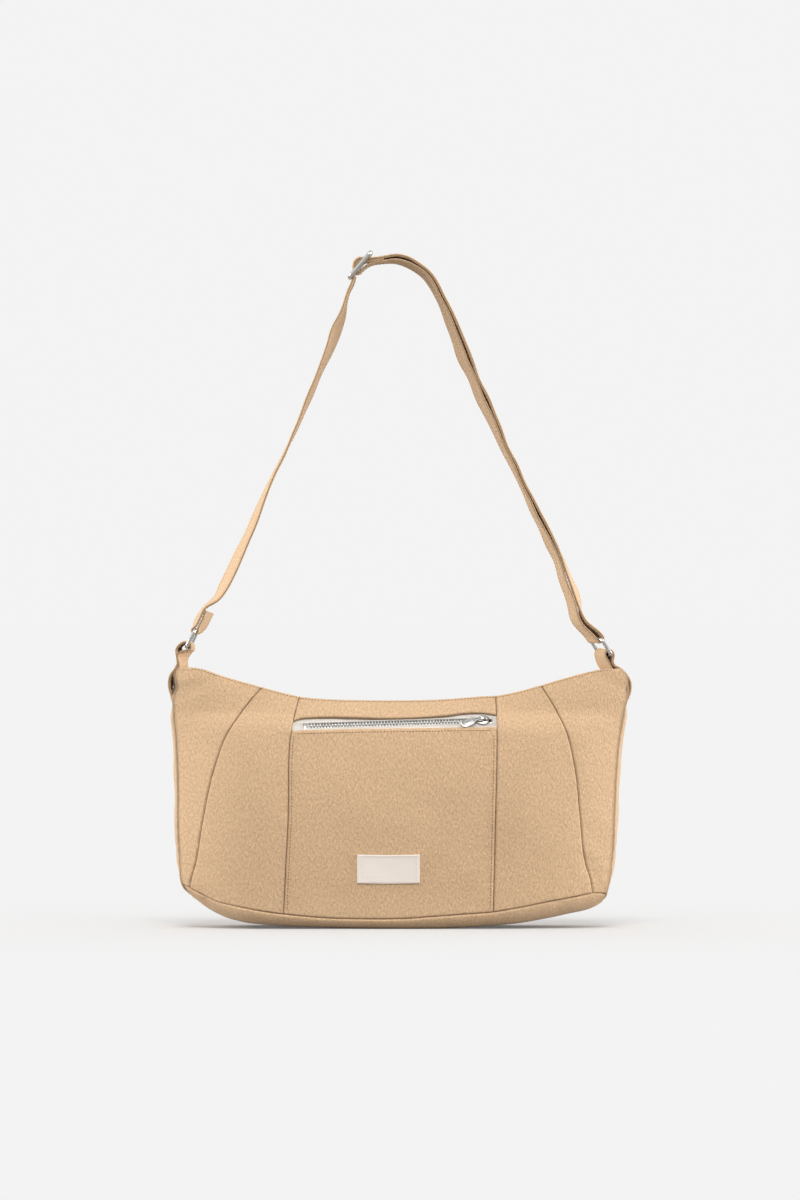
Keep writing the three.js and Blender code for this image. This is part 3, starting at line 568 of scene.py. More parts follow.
def metal_material(name="polished metal", roughness=0.16, tone=1.0):
    """Plated metal with faint handling marks."""
    s = Shader(name)
    if s.ready:
        return s.material
    where = s.add("TexCoord", out="Object")
    smear = s.noise(where, 1 / SMEAR, detail=3.0)
    scuff = s.noise(s.turned(where, degrees=20, stretch=(1, 0.2, 1)), 1 / SCUFF)
    marks = s.math("MULTIPLY_ADD", scuff, 0.4, smear)
    rough = s.ramp(marks, low=0.3, high=1.1, start=0.6 * roughness, end=1.7 * roughness)
    base = scaled(colours().metal, tone)
    colour = s.mix(s.ramp(smear, low=0.35, high=0.7), base, scaled(base, SMEAR_TONE))
    dents = s.bump(smear, distance=0.05 * MM, strength=0.3)
    return s.finish(Base_Color=colour, Roughness=rough, Metallic=1.0, Normal=dents)


def zip_metal():
    return metal_material("zip metal", roughness=0.24, tone=0.82)


def slider_metal():
    return metal_material("slider metal", roughness=0.2, tone=0.72)


# Shape of the body: the outlines seen from the front, in millimetres

TOP_EDGE = smooth_line(
    mm(
        (-190, 213), (-173, 213), (-164, 212), (-146, 206), (-123, 199.5), (-100, 193.2),
        (-82, 189), (-60, 187), (-30, 186.2), (0, 186), (40, 187.2), (66, 189.2), (80, 190),
        (100, 194), (121, 200), (146, 207), (164, 211), (176, 212), (190, 212),
    )
)
BASE_SEAM = smooth_line(
    mm(
        (-182, 37), (-174.4, 33.8), (-160.7, 27), (-150, 22), (-135, 18.6), (-115, 14.8),
        (-95.5, 12.1), (-60.8, 8.9), (-20, 8), (0, 8.2), (27, 10), (54, 12), (75.5, 13.6),
        (95, 16.8), (122, 22), (146, 26.3), (157, 28.6), (168.6, 28), (180, 27),
    )
)
UNDERSIDE = smooth_line(
    mm(
        (-182, 31), (-171, 26), (-156, 15.5), (-142.5, 9), (-128.8, 5.4), (-101.6, 2.5),
        (-60.8, 0.8), (-20, 0), (27, 0), (68, 1.9), (95, 4), (115.6, 7.3), (136, 11.4),
        (160.5, 18), (168.6, 23), (180, 26),
    )
)
LEFT_SIDE = smooth_line(
    mm(
        (20, 166), (26, 171), (34, 177.6), (48, 180), (66, 181), (86, 181.8), (113, 181.8),
        (152, 183.2), (176, 185.2), (189, 185.4), (196, 182.2), (203, 183.6), (209, 184.2),
        (214, 181),
    )
)
RIGHT_SIDE = smooth_line(
    mm(
        (20, 165), (26, 168.6), (34, 170.6), (59, 174), (93, 175.6), (125, 177), (152, 179.4),
        (174, 183), (190, 186.6), (200, 186.8), (207, 185.4), (214, 181),
    )
)
LEFT_SEAM = smooth_line(mm((0, -95), (14, -94.6), (90, -91), (165, -88), (195, -81)))
RIGHT_SEAM = smooth_line(mm((0, 75.5), (15, 76), (95, 78), (171, 79), (195, 78)))
LEFT_CURVE = smooth_line(
    mm(
        (20, -173), (39, -171), (52, -167.4), (86, -161.6), (133, -151), (162, -139.6),
        (180, -127), (194, -115.5), (206, -104),
    )
)
RIGHT_CURVE = smooth_line(
    mm(
        (20, 158), (39, 156), (52, 152), (91, 147.2), (133, 142.6), (164, 134.6), (181, 126),
        (193, 118.6), (206, 110),
    )
)
POCKET_EDGE = smooth_line(
    mm(
        (-100, 161), (-87, 161.6), (-67, 162.3), (-35, 163.2), (6, 163.7), (48, 164.4),
        (78, 164.8), (95, 165.2),
    )
)
BAND_EDGE = smooth_line(
    mm(
        (-96, 165), (-89, 168), (-86, 170.2), (-82.5, 171.6), (-73, 172.5), (-56, 173),
        (-35, 172.5), (-8, 171.8), (19, 172.7), (38, 174.2), (57, 176.2), (69, 175.9), (78, 174.8),
        (90, 172),
    )
)
BACK_SEAM = smooth_line(mm((0, 85), (90, 83), (195, 80.5)))
BACK_CURVE = smooth_line(
    mm(
        (20, 166), (39, 163), (86, 155), (133, 147), (164, 137), (181, 126.5), (194, 117),
        (206, 107),
    )
)

BODY_HALF_DEPTH = mm(47)
TOP_HALF_DEPTH = mm(18)
LEAN_START, LEAN_LENGTH, LEAN_DEPTH, LEAN_POWER = mm(70), mm(98), mm(11.8), 2.4
HEAD_START, HEAD_LENGTH, HEAD_DEPTH = mm(158), mm(28), mm(14.5)
OPEN_START, OPEN_POWER = mm(175.5), 1.3
# Where the front begins to round off towards each side, on the right further out with height
LEFT_FLAT, RIGHT_FLAT, RIGHT_FLAT_HIGH = mm(112), mm(-20), mm(40)
RIGHT_FLAT_START, RIGHT_FLAT_LENGTH = mm(50), mm(125)
LEFT_ROUNDING, RIGHT_ROUNDING = 2.2, 3.8
SIDE_LOW = mm(22)
SIDE_HIGH = mm(213)
SIDE_DEPTH_LOW = mm(26)
SIDE_DEPTH_HIGH = mm(13.5)
SIDE_TAPER_POWER = 1.2

FRONT, BACK = -1, 1

# Soft waves of the cloth: height, length, seed and count
CLOTH_WAVES = ((mm(0.3), mm(64), 3, 7), (mm(0.1), mm(21), 8, 9))

# Folds of the front, each from one place to another, with its height and half width, in millimetres
FRONT_FOLDS = (
    ((-152, 204), (-176, 190), -0.7, 3.4),
    ((-166, 207), (-184, 199), 0.6, 3.5),
    ((147, 85), (162, 66), -0.4, 5.0),
    ((149, 62), (162, 33), -0.55, 5.0),
    ((158, 64), (170, 38), 0.35, 6),
    ((158, 209), (186, 194), -0.6, 4.5),
    ((-172, 52), (-152, 26), -0.8, 5),
    ((-150, 60), (-176, 70), 0.5, 7),
    ((-120, 150), (-104, 50), 0.6, 15),
    ((112, 150), (100, 60), 0.6, 14),
    ((-70, 120), (-20, 40), 0.4, 26),
    ((10, 130), (60, 40), -0.4, 24),
    ((-50, 24), (50, 26), -0.5, 9),
)
# How full a fold is at its ends, before easing, and how quickly it fills towards its middle
FOLD_END, FOLD_GROWTH = 0.75, 1.5
BACK_FOLDS = (
    ((-150, 204), (-176, 190), -1.3, 4),
    ((150, 204), (178, 190), -1.3, 4),
    ((-150, 70), (-168, 36), -1.4, 4.5),
    ((150, 70), (166, 36), -1.4, 4.5),
    ((-60, 130), (-10, 50), 1.0, 24),
    ((20, 140), (70, 50), -0.9, 22),
    ((-112, 150), (-104, 50), 1.0, 15),
    ((112, 150), (102, 60), 1.0, 15),
)


def half_width(x, z):
    return np.where(x < 0, LEFT_SIDE(z), RIGHT_SIDE(z))


def side_half_depth(z):
    share = np.clip((z - SIDE_LOW) / (SIDE_HIGH - SIDE_LOW), 0, 1)
    return lerp(SIDE_DEPTH_LOW, SIDE_DEPTH_HIGH, share**SIDE_TAPER_POWER)


def leaning_half_depth(z):
    lean = LEAN_DEPTH * np.maximum(0, (z - LEAN_START) / LEAN_LENGTH) ** LEAN_POWER
    head = HEAD_DEPTH * np.maximum(0, (z - HEAD_START) / HEAD_LENGTH) ** 2
    return BODY_HALF_DEPTH - lean - head


def half_depth(x, z):
    """Distance of the front and back from the middle plane."""
    top = TOP_EDGE(x)
    opened = np.maximum(0, (z - OPEN_START) / (top - OPEN_START)) ** OPEN_POWER
    middle = leaning_half_depth(z) + (TOP_HALF_DEPTH - leaning_half_depth(top)) * opened
    left = np.clip((-x - LEFT_FLAT) / (LEFT_SIDE(z) - LEFT_FLAT), 0, 1) ** LEFT_ROUNDING
    outward = ramp_up(z, RIGHT_FLAT_START, RIGHT_FLAT_LENGTH)
    right_flat = lerp(RIGHT_FLAT, RIGHT_FLAT_HIGH, outward)
    right = np.clip((x - right_flat) / (RIGHT_SIDE(z) - right_flat), 0, 1) ** RIGHT_ROUNDING
    return lerp(middle, side_half_depth(z), np.maximum(left, right))


def ripples(a, b, size, seed, count=7):
    """Soft uneven waves over two coordinates, between about -1 and 1."""
    chance = np.random.default_rng(seed)
    total = 0
    for _ in range(count):
        angle, phase = chance.uniform(0, 2 * math.pi, 2)
        wave = size * chance.uniform(0.7, 1.5)
        total = total + np.sin((a * math.cos(angle) + b * math.sin(angle)) * 2 * math.pi / wave + phase)
    return total / math.sqrt(count)


def fold_relief(x, z, folds):
    """Height of a list of folds at each place."""
    total = np.zeros_like(x)
    for start, end, height, width in folds:
        a = mm(*start)
        b = mm(*end)
        run = b - a
        t = ((x - a[0]) * run[0] + (z - a[1]) * run[1]) / run.dot(run)
        near = np.clip(t, 0, 1)
        away = np.hypot(x - a[0] - near * run[0], z - a[1] - near * run[1]) / (width * MM)
        along = ease(FOLD_END + FOLD_GROWTH * np.minimum(t, 1 - t))
        total += height * MM * hump(away, 0, 1) * along
    return total


def cloth_relief(x, z, facing):
    """How far the cloth stands off its smooth surface."""
    folds = FRONT_FOLDS if facing == FRONT else BACK_FOLDS
    soft = 0
    for height, length, seed, count in CLOTH_WAVES:
        soft = soft + height * ripples(x, z, length, seed + facing, count)
    return fold_relief(x, z, folds) + soft


def skin(x, z, facing):
    """The outer surface of the front or back at each place."""
    return np.stack([x, facing * (half_depth(x, z) + cloth_relief(x, z, facing)), z], -1)


def skin_normals(points, facing):
    normal = grid_normals(points)
    return normal * np.sign(normal[..., 1:2]) * facing


def on_skin(x, z, facing):
    """Points and outward normals along a line of places on the front or back."""
    step = mm(0.5)
    middle = skin(x, z, facing)
    across = skin(x + step, z, facing) - skin(x - step, z, facing)
    upward = skin(x, z + step, facing) - skin(x, z - step, facing)
    normal = unit(np.cross(across, upward))
    return middle, normal * np.sign(normal[..., 1:2]) * facing


# Panels

SEAM_REACH = mm(1.8)
SHADE_REACH, SHADE_POWER = mm(0.46), 1.5
BASE_SHADE_REACH = mm(0.95)
SIDE_SHADE_REACH = mm(3)
GUSSET_SHADE_REACH = mm(4.5)
FOLD_REACH = mm(1.5)
# A folded edge's dip as a share of the canvas, its gathers as a share of a seam's, and a foot's tuck
FOLD_DIP, FOLD_GATHER, FOOT_TUCK = 0.5, 0.3, 0.2
GATHER_HEIGHT, GATHER_LENGTH, GATHER_COUNT = mm(0.42), mm(9), 5
GATHER_START, GATHER_REACH = mm(1.2), mm(5)
# A panel's heights before they are fitted to its seams, and the rounds of fitting
FIRST_LOW, FIRST_HIGH, FIT_ROUNDS = mm(30), mm(170), 12


def edge_roll(distance, depth, reach):
    """How far cloth dips towards an edge."""
    return depth * fade(distance, reach) ** 2


def seam_shade(distance):
    return fade(distance, SHADE_REACH) ** SHADE_POWER


def puckers(along, distance, seed):
    """Small gathers beside a seam."""
    near = np.exp(-distance / GATHER_REACH) * (1 - np.exp(-distance / GATHER_START))
    return GATHER_HEIGHT * near * ripples(along, 0 * along, GATHER_LENGTH, seed, GATHER_COUNT)


def sew_cloth(name, flat, normal, raised, shade, node, uv=None, shape=None):
    """A closed piece of canvas, raised off a flat face, and shaped further if a function is given."""
    outer = flat + normal * raised[..., None]
    inner = flat - normal * (sizes().canvas + sizes().seam_depth)
    if shape:
        shape(outer, inner)
    piece = cloth_piece(name, outer, inner, shade, uv)
    finish_piece(piece, canvas_material(), "bag", [node])


def panel_grid(left, right, low, high, width, height):
    """Places between two upright seams and two level ones, finely spaced near them."""
    u = spaced(fine=mm(0.5), coarse=mm(2.4), reach=mm(5), length=width)
    v = spaced(fine=mm(0.5), coarse=mm(2.4), reach=mm(5), length=height)
    share_v, share_u = np.meshgrid(v, u, indexing="ij")
    z = lerp(FIRST_LOW, FIRST_HIGH, share_v)
    for _ in range(FIT_ROUNDS):
        x = lerp(left(z), right(z), share_u)
        z = lerp(low(x), high(x), share_v)
    return x, z


def tuck_foot(outer, inner):
    outer[0] = lerp(outer[0], inner[0], FOOT_TUCK)


def sew_panel(name, facing, left, right, low, high, node, size, seed):
    """One panel of the front or back, dipped at its seams and folded over at its hems."""
    depth = sizes().seam_depth
    x, z = panel_grid(left, right, low, high, *mm(*size))
    flat = skin(x, z, facing)
    normal = skin_normals(flat, facing)
    across = run_length(flat, 1)
    upward = run_length(flat, 0)
    from_right = across[:, -1:] - across
    beside = np.minimum(across, from_right)
    roll = edge_roll(beside, depth, SEAM_REACH)
    # Painted shade along the seams, reaching further in at the bag's side edges
    shade = seam_shade(beside)
    for line, side_line, distance in ((left, left_edge, across), (right, RIGHT_SIDE, from_right)):
        if line is side_line:
            shade = np.maximum(shade, fade(distance, SIDE_SHADE_REACH))
    raised = puckers(upward, beside, seed)
    foot = "lip" if low is BAND_EDGE else "seam"
    for kind, distance in (("hem", upward[-1:] - upward), (foot, upward)):
        if kind == "seam":
            roll = np.maximum(roll, edge_roll(distance, depth, SEAM_REACH))
            shade = np.maximum(shade, fade(distance, BASE_SHADE_REACH))
            raised = raised + puckers(across, distance, seed + 1)
        else:
            roll = np.maximum(roll, edge_roll(distance, FOLD_DIP * sizes().canvas, FOLD_REACH))
            # A lip, the top band's folded edge over the zip, gets painted shade under its fold
            shade = np.maximum(shade, seam_shade(distance)) if kind == "lip" else shade
            raised = raised + FOLD_GATHER * puckers(across, distance, seed + 2)
    sew_cloth(name, flat, normal, raised - roll, shade, node, shape=tuck_foot)


def left_edge(z):
    return -LEFT_SIDE(z)


def back_left_seam(z):
    return -BACK_SEAM(z)


def back_left_curve(z):
    return -BACK_CURVE(z)


# Name, side, left seam, right seam, CAD node and size in millimetres
PANELS = (
    ("pocket_panel", FRONT, LEFT_SEAM, RIGHT_SEAM, "front_pocket_panel", (170, 155)),
    ("top_band", FRONT, LEFT_SEAM, RIGHT_SEAM, "front_top_band", (165, 22)),
    ("left_panel", FRONT, LEFT_CURVE, LEFT_SEAM, "front_left_panel", (60, 190)),
    ("right_panel", FRONT, RIGHT_SEAM, RIGHT_CURVE, "front_right_panel", (62, 185)),
    ("left_end", FRONT, left_edge, LEFT_CURVE, "front_left_end_panel", (40, 185)),
    ("right_end", FRONT, RIGHT_CURVE, RIGHT_SIDE, "front_right_end_panel", (40, 185)),
    ("back_centre", BACK, back_left_seam, BACK_SEAM, "back_centre_panel", (168, 185)),
    ("back_left", BACK, back_left_curve, back_left_seam, "back_left_panel", (62, 190)),
    ("back_right", BACK, BACK_SEAM, BACK_CURVE, "back_right_panel", (62, 190)),
    ("back_left_end", BACK, left_edge, back_left_curve, "back_left_end_panel", (40, 185)),
    ("back_right_end", BACK, BACK_CURVE, RIGHT_SIDE, "back_right_end_panel", (40, 185)),
)
# The panels that don't reach from the base to the top edge
PANEL_FEET = {"top_band": BAND_EDGE}
PANEL_HEADS = {"pocket_panel": POCKET_EDGE}
FIRST_PANEL_SEED, PANEL_SEEDS = 20, 3


def sew_panels():
    for number, (name, facing, left, right, node, size) in enumerate(PANELS):
        low = PANEL_FEET.get(name, BASE_SEAM)
        high = PANEL_HEADS.get(name, TOP_EDGE)
        seed = FIRST_PANEL_SEED + PANEL_SEEDS * number
        sew_panel("canvas_" + name, facing, left, right, low, high, node, size, seed)


# Base and gussets

BASE_SEAM_ENDS = mm(-177.8, 169.2)
BASE_UNDER_ENDS = mm(-171, 166.8)
BASE_AROUND = mm(106)
BASE_OVERLAP = mm(0.3)
# The base's rounded corner, its greatest share of the half depth, and the length of its arc in radii
BASE_ROUND, ROUND_SHARE, ROUND_ARC = mm(12), 0.8, 1.3
# Place, height and half width of the creases across the base, in millimetres, and their reach
BASE_CREASES = ((-108, -0.6, 2.2), (-158, -1.3, 2.2), (-163, 0.8, 3), (128, -0.5, 3), (152, -0.6, 3))
CREASE_REACH = mm(14)


def base_points(share, around):
    """The base at a share of its length, from the front seam (-1), underneath, to the back seam (1)."""
    seam_x = lerp(*BASE_SEAM_ENDS, share)
    under_x = lerp(*BASE_UNDER_ENDS, share)
    seam = BASE_SEAM(seam_x)
    half = half_depth(seam_x, seam) + BASE_OVERLAP
    corner = np.minimum(BASE_ROUND, ROUND_SHARE * half)
    flat = half - corner
    arc = corner * ROUND_ARC
    reach = np.abs(around) * (flat + arc)
    turn = np.clip((reach - flat) / arc, 0, 1) * math.pi / 2
    y = np.minimum(reach, flat) + corner * np.sin(turn)
    rise = 1 - np.cos(turn)
    x = lerp(under_x, seam_x, rise)
    z = lerp(UNDERSIDE(under_x), seam, rise)
    return np.stack([x, np.sign(around) * y, z], -1)


def above_floor(outer, inner):
    outer[..., 2] = np.maximum(outer[..., 2], 0.0)


def sew_base():
    """The base, which sags between its seams and is creased across where it turns up."""
    depth = sizes().seam_depth
    length = BASE_SEAM_ENDS[1] - BASE_SEAM_ENDS[0]
    shares = spaced(fine=mm(0.6), coarse=mm(2.6), reach=mm(6), length=length)
    around = 2 * spaced(fine=mm(0.5), coarse=mm(2.2), reach=mm(5), length=BASE_AROUND) - 1
    around_grid, share_grid = np.meshgrid(around, shares)
    flat = base_points(share_grid, around_grid)
    normal = grid_normals(flat)
    normal = normal * np.sign(-normal[len(shares) // 2, len(around) // 2, 2])
    across = run_length(flat, 1)
    along = run_length(flat, 0)
    beside = from_ends(across, 1)
    ends = from_ends(along, 0)
    roll = np.maximum(edge_roll(beside, depth, SEAM_REACH), edge_roll(ends, depth, SEAM_REACH))
    # Painted shade along the seams
    shade = np.maximum(seam_shade(beside), seam_shade(ends))
    raised = puckers(along, beside, seed=61) + puckers(across, ends, seed=62)
    side = fade(beside, CREASE_REACH)
    for place, height, width in BASE_CREASES:
        raised = raised + side * height * MM * hump(flat[..., 0], place * MM, width * MM)
    sew_cloth("canvas_base", flat, normal, raised - roll, shade, "base_panel", shape=above_floor)


GUSSET_HEIGHT, GUSSET_WIDTH = mm(185), mm(52)
GUSSET_CORNER = mm(178)
GUSSET_TOP_GAP, GUSSET_TOP_DIP = mm(3), mm(2)
GUSSET_FOOT = mm(14)
GUSSET_UV_START = mm(9)
# How far a gusset stands out, and how quickly that begins above its foot
SIDE_BULGE, BULGE_RATE = mm(3.3), 5
# Where the tab is sewn on, and the share of the bulge that this draws in
TAB_SEAM_HEIGHT, TAB_SEAM_REACH, TAB_SEAM_DRAW = mm(183), mm(6.5), 0.9
# The left tab stands off its gusset's head, and the right one lies on it
HEAD_SLACK = {-1: 1.13, 1: 0.12}
HEAD_REACH = mm(12)
WRINKLE_HEIGHT, WRINKLE_LENGTH = mm(0.35), mm(34)
# A slanting dent across the gusset
DENT_DEPTH, DENT_HEIGHT, DENT_SLANT, DENT_WIDTH = mm(0.9), mm(64), 0.5, mm(7)
# The shade under the tab, and its start and growth as shares of the height and of the half width
HOLLOW_SHADE, HOLLOW_UP, HOLLOW_ACROSS = 0.85, (0.84, 0.08), (0.2, 0.4)


def gusset_top(y, z_corner, half):
    """The gusset's upper edge dips a little between its corners."""
    return z_corner - GUSSET_TOP_GAP - GUSSET_TOP_DIP * (1 - (y / half) ** 2)


def sew_gusset(name, side, node):
    """A side strip between the two side seams, slack, and drawn in where the tab is sewn to it."""
    depth = sizes().seam_depth
    edge = LEFT_SIDE if side < 0 else RIGHT_SIDE
    corner = TOP_EDGE(side * GUSSET_CORNER)
    v = spaced(fine=mm(0.6), coarse=mm(2.6), reach=mm(5), length=GUSSET_HEIGHT)
    u = 2 * spaced(fine=mm(0.5), coarse=mm(1.8), reach=mm(5), length=GUSSET_WIDTH) - 1
    across_share, up_share = np.meshgrid(u, v)
    middle = 1 - across_share**2
    low_end = base_points(np.full_like(u, 0 if side < 0 else 1), u)
    low_y, low_z = low_end[:, 1], low_end[:, 2]
    top_y = u * side_half_depth(corner)
    top_z = gusset_top(top_y, corner, side_half_depth(corner))
    z = low_z[None, :] + (top_z - low_z)[None, :] * up_share
    foot = fade(z - low_z[None, :], GUSSET_FOOT) ** 2
    y = lerp(across_share * side_half_depth(z), np.broadcast_to(low_y, z.shape), foot)
    drawn_in = TAB_SEAM_DRAW * hump(z, TAB_SEAM_HEIGHT, TAB_SEAM_REACH)
    head = ramp_up(z, TAB_SEAM_HEIGHT, HEAD_REACH)
    fullness = SIDE_BULGE * ease(up_share * BULGE_RATE) * lerp(1 - drawn_in, HEAD_SLACK[side], head)
    bulge = fullness * middle
    wrinkle = WRINKLE_HEIGHT * ripples(y, z, WRINKLE_LENGTH, seed=40 + side) * middle
    dent = DENT_DEPTH * hump(z - DENT_HEIGHT - DENT_SLANT * y, 0, DENT_WIDTH) * middle
    flat = np.stack([side * (edge(z) + bulge + wrinkle - dent), y, z], -1)
    normal = grid_normals(flat)
    normal = normal * np.sign(normal[..., :1]) * side
    across = run_length(flat, 1)
    upward = run_length(flat, 0)
    beside = from_ends(across, 1)
    roll = np.maximum(edge_roll(beside, depth, SEAM_REACH), edge_roll(upward, depth, SEAM_REACH))
    roll = np.maximum(roll, edge_roll(upward[-1:] - upward, FOLD_DIP * sizes().canvas, FOLD_REACH))
    # Painted shade beside the seams, and in the hollow under the tab
    hollow = HOLLOW_SHADE * ramp_up(up_share, *HOLLOW_UP) * ramp_up(np.abs(across_share), *HOLLOW_ACROSS)
    shade = np.maximum(fade(beside, GUSSET_SHADE_REACH), seam_shade(upward))
    shade = np.maximum(shade, hollow)
    raised = puckers(upward, beside, seed=71) + puckers(across, upward, seed=72)
    uv = np.stack([across + GUSSET_UV_START, upward], -1)
    sew_cloth(name, flat, normal, raised - roll, shade, node, uv)


# Label

LABEL_LEFT, LABEL_RIGHT = mm(-35), mm(16)
LABEL_LOW, LABEL_HIGH = mm(37.3), mm(60.8)
LABEL_THICKNESS = mm(0.8)
LABEL_RISE, LABEL_SINK = mm(0.5), mm(0.1)
LABEL_SAG = mm(0.5)
# The label's turned edge: its height, its width and the length of its step
TURNED_HEIGHT, TURNED_WIDTH, TURNED_STEP = mm(0.06), mm(1.6), mm(0.8)
CORNER_LIFT, CORNER_REACH = mm(0.5), mm(3)
LABEL_WAVE, LABEL_WAVE_LENGTH = mm(0.03), mm(26)
# The label's rounded edge, and the least share of its thickness there
LABEL_ROUNDING, LABEL_THIN = mm(0.5), 0.05
# Shade along the label's stitches and at its edge
LABEL_SEAM_SHADE, LABEL_SEAM_PLACE, LABEL_SEAM_WIDTH = 0.12, mm(2.0), mm(0.3)
LABEL_EDGE_SHADE, LABEL_EDGE_REACH = 0.7, mm(0.35)


def sew_label():
    """A bare woven label with turned edges, sewn to the pocket panel."""
    width = LABEL_RIGHT - LABEL_LEFT
    height = LABEL_HIGH - LABEL_LOW
    u = spaced(fine=mm(0.3), coarse=mm(1.5), reach=mm(2.4), length=width)
    v = spaced(fine=mm(0.3), coarse=mm(1.5), reach=mm(2.4), length=height)
    share_u, share_v = np.meshgrid(u, v)
    x = LABEL_LEFT + width * share_u
    z = LABEL_LOW + height * share_v - LABEL_SAG * np.sin(math.pi * share_u)
    flat = skin(x, z, FRONT)
    normal = skin_normals(flat, FRONT)
    from_side = np.minimum(share_u, 1 - share_u) * width
    from_top = np.minimum(share_v, 1 - share_v) * height
    edge = np.minimum(from_side, from_top)
    turned = TURNED_HEIGHT * (1 - ramp_up(edge, TURNED_WIDTH, TURNED_STEP))
    lifted = CORNER_LIFT * np.exp(-(from_side + from_top) / CORNER_REACH)
    lifted = lifted + LABEL_WAVE * ripples(x, z, LABEL_WAVE_LENGTH, seed=90)
    rounding = np.sqrt(np.clip(edge / LABEL_ROUNDING, LABEL_THIN, 1))
    rise = LABEL_RISE + turned + lifted + LABEL_THICKNESS * rounding
    outer = flat + normal * rise[..., None]
    inner = flat - normal * LABEL_SINK
    shade = LABEL_SEAM_SHADE * hump(edge, LABEL_SEAM_PLACE, LABEL_SEAM_WIDTH)
    shade = shade + LABEL_EDGE_SHADE * fade(edge, LABEL_EDGE_REACH)
    piece = cloth_piece("sewn_label", outer, inner, shade)
    finish_piece(piece, label_material(), "bag", ["label"])


# Lining and pocket bag

LINING = mm(0.8)
LINING_INSET = mm(6.5)
LINING_FOOT = mm(12)
LINING_HEAD_DROP = mm(14)
LINING_REACH, LINING_FLOOR = mm(150), mm(5)
LINING_TUCK, LINING_SQUARENESS = mm(9), 0.35
# The room that the lining leaves for the pocket, and how far that reaches to both sides
LINING_HOLLOW, LINING_HOLLOW_REACH = mm(8), mm(90)
POCKET_LEFT, POCKET_RIGHT = mm(-68), mm(62)
POCKET_FOOT, POCKET_HEAD_DROP, POCKET_SAG = mm(46), mm(8), mm(2)
POCKET_ROOM, POCKET_SQUARENESS, POCKET_FLATNESS = mm(3.2), 0.4, 0.2
# The share of the pocket's room at its foot, how quickly it widens, and the turn of its sag
POCKET_FOOT_ROOM, POCKET_WIDENING, POCKET_SAG_TURN = 0.35, 6, 1.5
POCKET_DEPTH = mm(7.6)
POCKET_WAVE, POCKET_WAVE_LENGTH = mm(0.7), mm(40)


def pouch_piece(name, ring_at, levels, sides):
    """An open pouch of thin cloth through level rings, closed at its foot."""
    shares = np.linspace(0, 1, levels)
    angles = np.linspace(0, 2 * math.pi, sides, endpoint=False)
    outer = np.stack([ring_at(share, angles, 0) for share in shares])
    inner = np.stack([ring_at(share, angles, LINING) for share in shares])
    inner[0, :, 2] += LINING
    count = levels * sides
    wall = grid_faces(levels, sides, closed=True)
    floor = cap_faces(sides)
    j = np.arange(sides)
    rim = np.stack([j, (j + 1) % sides, (j + 1) % sides + count, j + count], -1)
    rim = rim + (levels - 1) * sides
    faces = np.concatenate([wall, floor[:, ::-1], rim, wall[:, ::-1] + count, floor + count])
    points = np.concatenate([outer.reshape(-1, 3), inner.reshape(-1, 3)])
    uv = np.stack([points[:, 0] + points[:, 1], points[:, 2]], -1)
    return quad_piece(name, points, faces, uv)


def lining_ring(share, angles, inset):
    c, s = np.cos(angles), np.sin(angles)
    side_x = np.sign(c) * np.abs(c) ** LINING_SQUARENESS
    z = lerp(LINING_FOOT, TOP_EDGE(side_x * LINING_REACH) - LINING_HEAD_DROP, share)
    z = np.maximum(z, UNDERSIDE(side_x * LINING_REACH) + LINING_FLOOR)
    tuck = LINING_TUCK * (1 - share) ** 4 + inset + LINING_INSET
    x = side_x * (half_width(side_x, z) - tuck)
    pocket_room = LINING_HOLLOW * (s < 0) * fade(np.abs(x), LINING_HOLLOW_REACH) ** 0.5
    y = np.sign(s) * np.abs(s) ** LINING_SQUARENESS * (half_depth(x, z) - tuck - pocket_room)
    return np.stack([x, y, z], -1)


def pocket_ring(share, angles, inset):
    c, s = np.cos(angles), np.sin(angles)
    spread = np.sign(c) * np.abs(c) ** POCKET_SQUARENESS
    middle = (POCKET_LEFT + POCKET_RIGHT) / 2
    x = middle + spread * ((POCKET_RIGHT - POCKET_LEFT) / 2 - inset)
    sag = POCKET_SAG * np.cos(spread * POCKET_SAG_TURN) * (1 - share)
    z = lerp(POCKET_FOOT, POCKET_EDGE(x) - POCKET_HEAD_DROP, share) - sag
    room = (POCKET_ROOM - inset) * lerp(POCKET_FOOT_ROOM, 1, ease(share * POCKET_WIDENING))
    wave = POCKET_WAVE * ripples(x, z, POCKET_WAVE_LENGTH, seed=55)
    y = -half_depth(x, z) + POCKET_DEPTH + s * room * np.abs(s) ** POCKET_FLATNESS + wave
    return np.stack([x, y, z], -1)


def sew_lining():
    lining = pouch_piece("main_compartment_lining", lining_ring, levels=40, sides=96)
    finish_piece(lining, lining_material(), "bag", ["main_lining"])
    pocket = pouch_piece("pocket_lining", pocket_ring, levels=34, sides=72)
    finish_piece(pocket, lining_material(), "bag", ["pocket_bag"])


# Stitches

STITCH_SIDES = 6
STITCH_SHARE = 0.68
STITCH_RADIUS = mm(0.34)
# How far the rows lie from a seam, from the pocket's edge and from the top edge
SEAM_INSET, POCKET_INSET, TOP_INSET = mm(2.6), mm(3), mm(1.2)
POCKET_ROW, TOP_ROW = mm(-84, 75), mm(-171, 174)
ROW_FOOT, FRONT_ROW_HEAD, BACK_ROW_HEAD = mm(16), mm(158), mm(180)
LABEL_INSET, LABEL_LEVEL_INSET, LABEL_STITCH = mm(2), mm(1.4), mm(2)
# How far the thread lies off the smooth front, in millimetres: on the canvas and on the label
CANVAS_LIFT, LABEL_LIFT = 0.12, 1.45
# Points on a row: along the pocket, a seam and the top edge, and across and up the label
POCKET_POINTS, SEAM_POINTS, TOP_POINTS, ACROSS_POINTS, UPWARD_POINTS = 260, 200, 400, 60, 40


